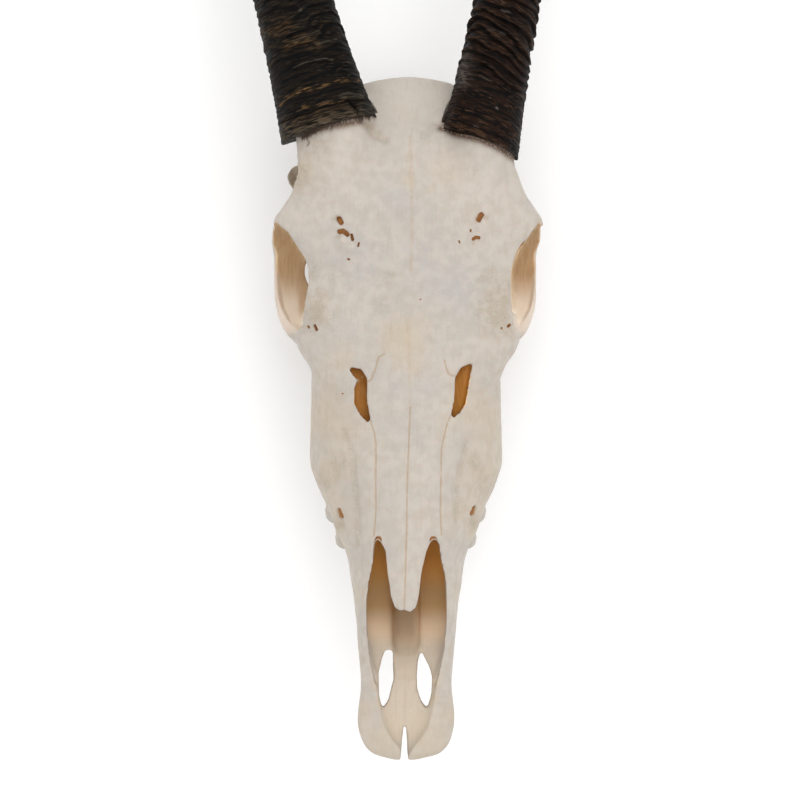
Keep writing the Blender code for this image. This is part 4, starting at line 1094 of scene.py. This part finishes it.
def refine_near(body, lines):
    """More points on top of the skull near the given lines."""
    points, normals = points_of(body)
    near = np.full(len(points), FAR_AWAY)
    for line in lines:
        near = np.minimum(near, distance_to(points, line))
    chosen = (near < FINE_BAND) & (normals[:, Z] > FINE_FACING) & (points[:, Z] > FINE_ABOVE)
    bm = bmesh.new()
    bm.from_mesh(body.data)
    bm.verts.ensure_lookup_table()
    edges = [e for e in bm.edges if chosen[e.verts[0].index] and chosen[e.verts[1].index]]
    bmesh.ops.subdivide_edges(bm, edges=edges, cuts=FINE_CUTS, use_grid_fill=True)
    bm.to_mesh(body.data)
    bm.free()


def fine_skull():
    """The bone without its teeth, finer than the solids."""
    body = melt("skull", bone_forms(), FORM_VOXEL, FORM_SMOOTHING)
    body = melt("skull", [body, *both_sides("pterygoid", PTERYGOID)], BONE_VOXEL, EDGE_SMOOTHING)
    combine(body, melt("hollows", hollows(), HOLLOW_VOXEL, 0), "DIFFERENCE")
    combine(body, form("vomer", VOMER), "UNION")
    lean(body)
    carve_outlines(body)
    body = melt("skull", [body], BONE_VOXEL, EDGE_SMOOTHING)
    for horn in HORNS.values():
        make_room_for_horn(body, horn)
    keep_largest(body)
    return body


def floor_shift():
    """From the tables' axes to the frame, in millimetres: both put the horn tips in one place."""
    end = np.array((HORN_LENGTH - 2, HORN_LENGTH))
    tips = [horn_rings(horn, end, even_angles(TIP_SIDES), 0.0)[-1] for horn in HORNS.values()]
    boxes = [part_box(name) for name in HORNS]
    x = (boxes[0][0].x + boxes[1][1].x) / 2 / MM - (tips[0][:, 0].min() + tips[1][:, 0].max()) / 2
    y = max(box[1].y for box in boxes) / MM - max(tip[:, 1].max() for tip in tips)
    return np.array((x, y, 0))


def noise_at(points, size, seed, octaves):
    """Smooth noise of one size in millimetres, from about -1 to 1."""
    offset = Vector([seed * part for part in SEED_SHIFT])
    kind = (NOISE_SOFTNESS, OCTAVE_RATIO, octaves)
    return np.array([noise.fractal(Vector(row) + offset, *kind) for row in (points / size).tolist()])


def within(points, outline):
    """Which points lie inside an outline seen from above."""
    x, y, _ = points.T
    inside = np.zeros(len(points), bool)
    for (x1, y1), (x2, y2) in zip(outline, (*outline[1:], outline[0])):
        if y1 != y2:
            inside ^= ((y1 > y) != (y2 > y)) & (x < (x2 - x1) * (y - y1) / (y2 - y1) + x1)
    return inside


def cavity_of(points, normals):
    """How deep in the nose a point lies, from 0 at its rim to 1, and where it is darkest."""
    x, y, z = points.T
    keys = [station.reach for station in NOSE_TUNNEL]
    rows = [(station.half, station.crown, station.base) for station in NOSE_TUNNEL]
    half, crown, base = smooth_through(keys, rows, np.clip(y, keys[0], keys[-1])).T
    wide = np.abs(x) / (half + TUNNEL_ROOM)
    roof = base + (crown + ROOF_ROOM - base) * np.sqrt(np.clip(1 - wide**2, 0, 1))
    inside = step_up(*NOSE_WALL, wide) * step_up(*NOSE_ROOF, z - roof) * step_up(*NOSE_FLOOR, z - base)
    inside *= zone("nose", points)
    for gap in SIDE_GAPS:
        near = within(points, gap) | (distance_to(points, (*gap, gap[0])) < GAP_MARGIN)
        steep = np.maximum(zone("gap_facing", normals), zone("gap_deep", points))
        inside = np.maximum(inside, near * steep * zone("gap", points))
    inside *= 1 - patches(points, INNER_PLATES)
    return inside * zone("nose_depth", points), inside * zone("nose_far", points)


def shelf_of(points):
    """The floor in front of the nose, which is warmer than the bone round it."""
    half = line_at([station[:2] for station in NOSE_BASIN], points[:, Y])
    return step_up(*SHELF_EDGE, np.abs(points[:, X]) - half) * zone("shelf", points)


def socket_of(points, normals):
    """How far inside an eye socket a point lies, from 0 to 1, and the same for its painted-light front.
    """
    best = np.zeros(len(points))
    for side, outline in zip((-1, 1), SOCKET_OUTLINES):
        outward = points * (side, 1, 1)
        facing = zone("socket_facing", normals * (side, 1, 1))
        facing = np.maximum(facing, zone("rim_facing", normals) * zone("rim", points))
        for name in ("socket_behind", "socket_ahead"):
            facing = np.maximum(facing, zone(name, outward))
        seen = within(points, outline) * zone("socket_height", points) * facing
        away = (outward - EYE_BOWL["centre"]) / EYE_BOWL["radii"]
        hidden = step_up(*BOWL_EDGE, np.linalg.norm(away, axis=1)) * (outward[:, X] > SOCKET_INNER)
        hidden *= zone("hidden", outward)
        best = np.maximum(best, np.maximum(seen, hidden) * zone("socket_length", points))
    # The inner strip gets less of the painted light, as painted shade
    strip = zone("socket_shaded_strip", np.abs(points))
    return best, best * zone("socket_painted_light", points) * (1 - STRIP_SHADE_SHARE * strip)


def lip_painted_light_of(points, normals):
    """Painted light: the cream edge at the front of each eye socket, from the bowl to the outline."""
    edge = line_at(SOCKET_EDGE, points[:, Y])
    upward = zone("corner_facing", normals) * zone("corner", points) * (points[:, X] > 0)
    edge = edge + np.minimum(line_at(LIP_CORNER, points[:, Y]) - edge, 0) * upward
    return step_up(*LIP_EDGE, np.abs(points[:, X]) - edge) * zone("lip_painted_light", points)


def patches(points, spots):
    """The strongest of some soft round patches at every point."""
    best = np.zeros(len(points))
    for x, y, size, strength in spots:
        best = np.maximum(best, strength * fading(np.hypot(points[:, X] - x, points[:, Y] - y), size))
    return best


def vomer_shade_of(points):
    """Painted shade on the strip along the floor of the nose, greyer than the bone beside it."""
    return step_up(*VOMER_EDGE, np.abs(points[:, X] - VOMER_MIDDLE)) * zone("vomer", points)


def sutures_of(points, top):
    """How strongly the sutures and the overgrown sutures show, and how deep they lie."""
    seam, faint, depth = np.zeros((3, len(points)))
    wander = noise_at(points, *WANDER)
    for name, line in SUTURES.items():
        gap = distance_to(points, line)
        mark = fading(gap + SUTURE.wander * wander, SUTURE.width) * top
        seam = np.maximum(seam, mark * (SEAM_EVENNESS + (1 - SEAM_EVENNESS) * wander))
        depth += SUTURE.depth * mark
        if name.startswith("nasal"):
            depth += NASAL_HOLLOW.depth * fading(gap, NASAL_HOLLOW.width) * top
    for line, strength in FAINT_SUTURES:
        gap = distance_to(points, line) + FAINT_SUTURE.wander * wander
        mark = fading(gap, FAINT_SUTURE.width) * top * strength
        shown = FAINT_EVENNESS + (1 - FAINT_EVENNESS) * step_up(*FAINT_FADE, wander)
        faint = np.maximum(faint, mark * shown)
        depth += FAINT_SUTURE.depth * mark
    return seam, faint, depth


def creases_of(points, top):
    """How strongly the creases show as painted shade, and how deep they and the dents lie."""
    fold, depth = np.zeros((2, len(points)))
    for line, width, amount in CREASES:
        mark = fading(distance_to(points, line), width) * top
        # Painted shade along the creases
        fold = np.maximum(fold, CREASE_SHADE * mark)
        depth += amount * mark
    for x, y, size, amount in DENTS:
        depth += amount * fading(np.hypot(points[:, X] - x, points[:, Y] - y), size) * top
    return fold, depth


def holes_of(points, top):
    """Where the small holes are, and how deep they go."""
    hole, depth = np.zeros((2, len(points)))
    for line, size, amount in PITS:
        gap = distance_to(points, [on_face(spot) for spot in line])
        mark = step_up(*(size * share for share in HOLE_WALL), gap) * top
        hole = np.maximum(hole, mark)
        depth += amount * mark
    return hole, depth


def unevenness(points):
    """The slight waves of real bone, and the rougher lump."""
    height = sum(amount * noise_at(points, *kind) for amount, *kind in WAVES)
    lump = patches(points, ((*LUMP["centre"][:2], *LUMP_ROUGHNESS),))
    rough = lump > LUMP_EDGE
    height[rough] += lump[rough] * noise_at(points[rough], *LUMP_NOISE)
    return height


def shape_face(body):
    """Give the bone its marks, and store for every point what its colours need."""
    points, normals = points_of(body)
    top = zone("top_facing", normals) * zone("top", points)
    seam, faint, sutures = sutures_of(points, top)
    fold, creases = creases_of(points, top)
    hole, holes = holes_of(points, top)
    moved = points + normals * (unevenness(points) - sutures - creases - holes)[:, None]
    moved[:, Z] = np.maximum(moved[:, Z], FLOOR_ROOM)
    set_points(body, moved)
    cavity, far = cavity_of(points, normals)
    socket, front = socket_of(points, normals)
    marks = {
        "seam": seam,
        "faint": faint,
        "cavity": cavity,
        "far": far,
        "hole": hole,
        "shelf": shelf_of(points),
        "socket": socket,
        # Painted light on the sockets' fronts
        "front": front,
        # Painted light on the sockets' front edges
        "lip_painted_light": lip_painted_light_of(points, normals),
        "cool": patches(points, COOL),
        "warm": patches(points, WARM),
        # Paler bone, and painted highlights on the trough floors
        "pale_and_lit": patches(points, PALE_AND_LIT),
        # Dirt patches, with painted shade at the trough edges, beside the sockets and along the creases
        "grime_and_shade": np.maximum(patches(points, GRIME_AND_SHADE), fold),
        # Painted shade along the nose floor's middle
        "vomer": vomer_shade_of(points),
        # Skin's remains and painted shadow
        "stain_and_shadow": marks_along(points, STAINS_AND_SHADOW)[1],
    }
    for name, values in marks.items():
        store(body, name, values)


def even_noise(values, size, seed):
    """Smooth noise along one line, from about -1 to 1."""
    return np.array([noise.noise(Vector((value / size, seed, seed * LINE_SHIFT))) for value in values])


def ridge_profile(turn):
    """Height of a ridge through one spacing: steep towards the base, gentle towards the tip."""
    share = turn - np.floor(turn)
    return step_up(0.0, RIDGE_RISE, share) * (1 - share) ** RIDGE_FALL


def noise_on_horn(parts, size, seed):
    """Smooth noise over a horn, from three coordinates of its surface."""
    grid = np.stack(np.broadcast_arrays(*parts), -1)
    return noise_at(grid.reshape(-1, 3), size, seed, 2).reshape(grid.shape[:-1])


def ridges(look, places, angles, across):
    """How far the ridges and wrinkles of a horn stand out, by place along it and around it."""
    s = places[:, None]
    sideways = across[:, None] * np.cos(angles)
    upright = across[:, None] * np.sin(angles)
    run = s + look.slant * sideways - look.bow * np.sin(angles)
    wide, long = WAVE_SIZES
    waves = (sideways / wide, upright / wide, run / long)
    drift = noise_on_horn(waves, 1.0, look.seed) * look.spacing * RIDGE_DRIFT
    uneven = noise_on_horn(waves, UNEVEN_SIZE, look.seed + UNEVEN_SEED)
    crest = ridge_profile((run + drift) / look.spacing)
    grown = step_up(look.ridge_start, look.ridge_start + RIDGE_BEGIN_LENGTH, s)
    grown = grown * step_up(RIDGE_END, RIDGE_END * RIDGE_FADE, s)
    high = look.ridge * grown * (crest * (1 + UNEVEN_SHARE * uneven) - 0.5)
    high = high + MEAN_RELIEF * np.clip(2 - 2 * s / RIDGE_END, 0, 1)
    fine = np.zeros_like(run)
    for size, amount, seed in WRINKLES:
        parts = (sideways / WRINKLE_ACROSS, upright / WRINKLE_ACROSS, run / size)
        fine += amount * noise_on_horn(parts, 1.0, look.seed + seed)
    kept = step_up(*(RIDGE_END * share for share in WRINKLE_FADE), s)
    fine *= WRINKLE_LEAST + (1 - WRINKLE_LEAST) * kept
    # The second value says where crests and grooves lie, for the painted highlights and shade
    return high + fine * look.wrinkle, 0.5 + (crest - 0.5) * grown


def marks_along(points, lines):
    """How near every point is to the nearest of some lines, from 0 to 1, and the depth there."""
    mark, depth = np.zeros((2, len(points)))
    for line, width, amount in lines:
        shape = fading(distance_to(points, line), width)
        mark = np.maximum(mark, shape)
        depth = np.maximum(depth, shape * amount)
    return mark, depth


def shape_base(rings, places, angles, look):
    """The sheath's edge reaches over the bone above, draws back below, and is a little ragged."""
    ahead = rings[1].mean(axis=0) - rings[0].mean(axis=0)
    ahead /= np.linalg.norm(ahead)
    turns = angles / math.tau
    wave = sum(
        share * even_noise(turns * count, 1.0, look.seed + seed) for count, share, seed in RAGGED_WAVES
    )
    below = np.clip(-np.sin(angles) - look.tuck, 0, 1)
    inner = np.clip(-np.sign(rings[0, :, X].mean()) * np.cos(angles), 0, 1)
    shift = RAGGED_DEPTH * wave - BASE_REACH - look.inner_reach * inner
    shift += BASE_UNDERCUT * below * (1 + 2 * inner)
    fade = np.clip(1 - places / BASE_LENGTH, 0, 1) ** 2
    return rings + (fade[:, None] * shift)[..., None] * ahead


def as_seen(points):
    """Where the photograph shows each point, on the plane that the tables are measured in."""
    nearer = CAMERA_RISE / (CAMERA_RISE + PLANE_HEIGHT - points[:, 2])
    seen = points.copy()
    seen[:, :2] = VIEW_CENTRE + (points[:, :2] - VIEW_CENTRE) * nearer[:, None]
    return seen


def horn_mesh(name, horn):
    """A horn as a closed mesh, with the ridges, wrinkles and cracks in its surface."""
    look = LOOKS[name]
    far = np.linspace(MIDDLE_RINGS[1], HORN_LENGTH, FAR_RINGS)
    places = np.concatenate((np.arange(*FINE_RINGS), np.arange(*MIDDLE_RINGS), far))
    angles = even_angles(HORN_SIDES)
    relief, crest = ridges(look, places, angles, horn_size(horn, places)[0])
    smooth = shape_base(horn_rings(horn, places, angles, 1.0), places, angles, look)
    flat = as_seen(smooth.reshape(-1, 3))
    rise = np.tile(np.sin(angles), len(places))
    top = step_up(*HORN_TOP, rise)
    wander = [even_noise(flat[:, X], MARK_NOISE_SIZE, seed) for seed in MARK_NOISE_SEEDS]
    wander = np.stack((*wander, 0 * rise), -1)
    near = flat + CRACK_WANDER * wander
    mark, depth = marks_along(near, CRACKS[name])
    relief = (relief.ravel() - depth * top).reshape(relief.shape)
    relief = relief * step_up(HORN_LENGTH, HORN_LENGTH - TIP_LENGTH, places)[:, None] - TIP_ROOM
    rings = shape_base(horn_rings(horn, places, angles, relief), places, angles, look)
    piece = skin_rings(f"{name}_sheath", rings)
    golden = marks_along(flat + GOLDEN_WANDER * wander, GOLDEN[name])[1]
    marks = {
        "along": np.repeat(places, HORN_SIDES),
        "side": np.tile(np.cos(angles), len(places)),
        "rise": rise,
        # Where crests and grooves lie, for painted highlights and shade
        "crest": crest.ravel(),
        "crack": mark * top,
        "golden": golden * top,
        # Worn grey patches and painted glints
        "weathered": marks_along(near, WEATHERED_AND_GLINTS[name])[1] * top,
    }
    for key, values in marks.items():
        store(piece, key, values)
    return piece


def fringe(name, horn, surface):
    """Remains of skin along the base of a horn, as short hairs that lie on the bone."""
    kind = FRINGES[name]
    chance = np.random.default_rng(int(LOOKS[name].seed))
    rings = horn_rings(horn, np.array((0.0, 3.0)), even_angles(EDGE_PLACES), 0.0)
    ahead = rings[1].mean(axis=0) - rings[0].mean(axis=0)
    ahead /= np.linalg.norm(ahead)
    bm = bmesh.new()
    for turn in chance.uniform(kind.first, kind.last, kind.hairs):
        start = rings[0][int(turn * EDGE_PLACES)] - ahead * (BASE_REACH - HAIR_SET_IN)
        way = -ahead + chance.normal(0, HAIR_SPREAD, 3)
        length = kind.longest * chance.uniform(HAIR_SHORTEST, 1) ** HAIR_POWER
        grow_hair(bm, start, way * length, surface)
    return new_piece(f"{name}_fringe", bm)


def grow_hair(bm, start, way, surface):
    """One hair, as a thin three-sided spike whose length follows the bone."""
    before = None
    for step in range(HAIR_JOINTS):
        spot = start + way * step / (HAIR_JOINTS - 1)
        found, normal, *_ = surface.find_nearest(Vector(spot))
        if step:
            spot = np.array(found + normal * HAIR_LIFT)
        radius = HAIR_RADIUS * (1 - step / HAIR_TAPER)
        corners = []
        for turn in even_angles(3):
            shift = np.array((math.cos(turn), HAIR_FLATNESS * math.sin(turn), math.sin(turn))) * radius
            corners.append(bm.verts.new((spot + shift) * MM))
        for index in range(3 if before else 0):
            after = (index + 1) % 3
            bm.faces.new((before[index], before[after], corners[after], corners[index]))
        if not before:
            bm.faces.new(corners[::-1])
        before = corners
    bm.faces.new(before)


def surface_of(piece):
    """The surface of a piece in millimetres, to find the nearest place on it."""
    corners = [tuple(point) for point in points_of(piece)[0]]
    faces = [tuple(face.vertices) for face in piece.data.polygons]
    return BVHTree.FromPolygons(corners, faces)


def into_frame(piece):
    """Move a piece from the tables' axes into the frame."""
    points, _ = points_of(piece)
    set_points(piece, points + SHIFT)


class Paint:
    """A new material, whose colour is laid on in layers."""

    def __init__(self, name, tone):
        self.made = bpy.data.materials.new(name)
        self.made.use_nodes = True
        self.shader = self.made.node_tree.nodes["Principled BSDF"]
        self.tone = (*tone, 1)
        self.sources = {}

    def feed(self, node, inputs):
        """Set a node's inputs, each by a value or by another node's output."""
        for key, value in inputs.items():
            if isinstance(value, bpy.types.NodeSocket):
                self.made.node_tree.links.new(value, node.inputs[key])
            else:
                node.inputs[key].default_value = value

    def add(self, kind, inputs, **settings):
        node = self.made.node_tree.nodes.new(f"ShaderNode{kind}")
        for name, value in settings.items():
            setattr(node, name, value)
        self.feed(node, inputs)
        return node

    def source(self, name):
        """A noise of this material, or else the number stored under this name for each point."""
        if name not in self.sources:
            self.sources[name] = self.add("Attribute", {}, attribute_name=name).outputs["Fac"]
        return self.sources[name]

    def ease(self, value, low, high, first=0.0, last=1.0):
        """A value taken smoothly from one range to another."""
        inputs = {"Value": value, "From Min": low, "From Max": high, "To Min": first, "To Max": last}
        return self.add("MapRange", inputs, interpolation_type="SMOOTHSTEP").outputs["Result"]

    def reckon(self, operation, *values):
        return self.add("Math", dict(enumerate(values)), operation=operation).outputs[0]

    def product(self, *factors):
        """The product of strengths and sources, each source eased where ranges are given."""
        share = None
        for factor in factors:
            if isinstance(factor, tuple):
                name, *ranges = factor
                factor = self.ease(self.source(name), *ranges) if ranges else self.source(name)
            share = factor if share is None else self.reckon("MULTIPLY", share, factor)
        return share

    def grain(self, where, size, detail, stretch, shift):
        """Noise of one size in millimetres, stretched where asked."""
        scale = [1 / (size * part * MM) for part in stretch]
        moved = self.add("Mapping", {"Vector": where, "Scale": scale, "Location": (shift,) * 3})
        inputs = {"Vector": moved.outputs[0], "Scale": 1.0, "Detail": detail}
        return self.add("TexNoise", inputs).outputs["Fac"]

    def specks(self, where, size, reach):
        """Small round marks scattered over a surface."""
        cells = self.add("TexVoronoi", {"Vector": where, "Scale": 1 / (size * MM)}).outputs["Distance"]
        return self.ease(cells, reach, reach * SPECK_CORE)

    def lay(self, tone, *factors):
        """Lay one colour over those before it."""
        inputs = {0: self.product(*factors), MIX_BELOW: self.tone, MIX_ABOVE: (*tone, 1)}
        self.tone = self.add("Mix", inputs, data_type="RGBA").outputs[2]

    def finish(self, roughness, relief, bump, inputs):
        """Hand colour, roughness and fine relief to the shader."""
        height = self.product(*relief[0])
        for part in relief[1:]:
            height = self.reckon("ADD", height, self.product(*part))
        normal = self.add("Bump", {"Height": height, **bump}).outputs[0]
        looks = {"Base Color": self.tone, "Roughness": self.product(roughness), "Normal": normal}
        self.feed(self.shader, {**looks, **inputs})
        return self.made


def bone_material():
    """Dry bone: mottled, with dirt, golden seams, an orange-brown inside, and painted light and shade.
    """
    paint = Paint("bone_fine", BONE_LIGHT)
    where = paint.add("TexCoord", {}).outputs["Object"]
    for name, kind in BONE_GRAINS.items():
        paint.sources[name] = paint.grain(where, *kind)
    paint.sources["dots"] = paint.specks(where, *DOTS)
    paint.sources["pores"] = paint.specks(where, *PORES)
    scratch = paint.reckon("COMPARE", paint.source("line"), 0.5, SCRATCH_WIDTH)
    paint.sources["scratch"] = scratch
    for tone, *factors in BONE_LAYERS:
        paint.lay(tone, *factors)
    return paint.finish(BONE_ROUGHNESS, BONE_RELIEF, BONE_BUMP, BONE_SHADER)


def horn_material(name):
    """Horn: dark fibres across it, brown, golden and worn streaks; painted glints, ridge light and
    shade.
    """
    tones = HORN_TONES[name]
    paint = Paint(f"{name}_fine", tones.dark)
    where = {"X": ("side", HORN_ROUND), "Y": ("rise", HORN_ROUND), "Z": ("along", MM)}
    inputs = {axis: paint.product((source,), scale) for axis, (source, scale) in where.items()}
    place = paint.add("CombineXYZ", inputs).outputs[0]
    for key, kind in HORN_GRAINS.items():
        paint.sources[key] = paint.grain(place, *kind)
    for tone, *factors in HORN_LAYERS:
        paint.lay(getattr(tones, tone), *factors)
    return paint.finish(HORN_ROUGHNESS, HORN_RELIEF, HORN_BUMP, HORN_SHADER)


def plain_material(name, tone, roughness):
    paint = Paint(name, tone)
    paint.feed(paint.shader, {"Base Color": paint.tone, "Roughness": roughness})
    return paint.made


def dress(piece, made, slot, *nodes):
    piece.data.materials.clear()
    piece.data.materials.append(made)
    piece.data.shade_smooth()
    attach(piece, "root")
    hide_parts(*nodes)


def floor():
    bm = bmesh.new()
    bmesh.ops.create_grid(bm, x_segments=1, y_segments=1, size=FLOOR_REACH)
    piece = new_piece("floor", bm)
    piece.data.materials.append(plain_material("floor", FLOOR_TONE, FLOOR_ROUGHNESS))


def camera():
    made = bpy.data.cameras.new("camera")
    made.sensor_width = SENSOR_WIDTH
    made.lens = made.sensor_width * CAMERA_RISE / FRAME_WIDTH
    viewer = bpy.data.objects.new("camera", made)
    bpy.context.scene.collection.objects.link(viewer)
    viewer.location = (np.array((*VIEW_CENTRE, PLANE_HEIGHT + CAMERA_RISE)) + SHIFT) * MM
    made.clip_end = VIEW_DEPTH
    bpy.context.scene.camera = viewer


def lights():
    scene = bpy.context.scene
    scene.world = bpy.data.worlds.new("studio")
    scene.world.use_nodes = True
    sky = scene.world.node_tree.nodes["Background"].inputs
    sky["Color"].default_value = (1, 1, 1, 1)
    sky["Strength"].default_value = WORLD_LIGHT
    scene.view_settings.view_transform = "Standard"
    light = bpy.data.lights.new("softbox", "AREA")
    light.shape = "RECTANGLE"
    light.size = light.size_y = LAMP_WIDTH
    light.energy = LAMP_POWER
    lamp = bpy.data.objects.new("softbox", light)
    scene.collection.objects.link(lamp)
    lamp.location = LAMP_PLACE
    lamp.rotation_euler = (Vector(LAMP_TARGET) - lamp.location).to_track_quat("-Z", "Y").to_euler()


SHIFT = floor_shift()
BONES = [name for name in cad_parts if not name.startswith("horn")]

skull = fine_skull()
small_holes = [[on_face(spot) for spot in line] for line, *_ in PITS]
refine_near(skull, [*SUTURES.values(), *(line for line, _ in FAINT_SUTURES), *small_holes])
shape_face(skull)
bone_surface = surface_of(skull)
into_frame(skull)
bone = bone_material()
dress(skull, bone, "bone", *BONES)
for side, word in ((-1, "left"), (1, "right")):
    teeth = [tooth("tooth", spot, side) for spot in TEETH]
    row = melt(f"teeth_{word}", teeth, TOOTH_VOXEL, TOOTH_SMOOTHING)
    lean(row)
    into_frame(row)
    dress(row, bone, "bone")
for name, horn in HORNS.items():
    piece = horn_mesh(name, horn)
    hairs = fringe(name, horn, bone_surface)
    into_frame(piece)
    into_frame(hairs)
    dress(piece, horn_material(name), "horn", name)
    dress(hairs, plain_material(f"{name}_hair", HAIR_TONES[name], HAIR_ROUGHNESS), "horn")
floor()
lights()
camera()
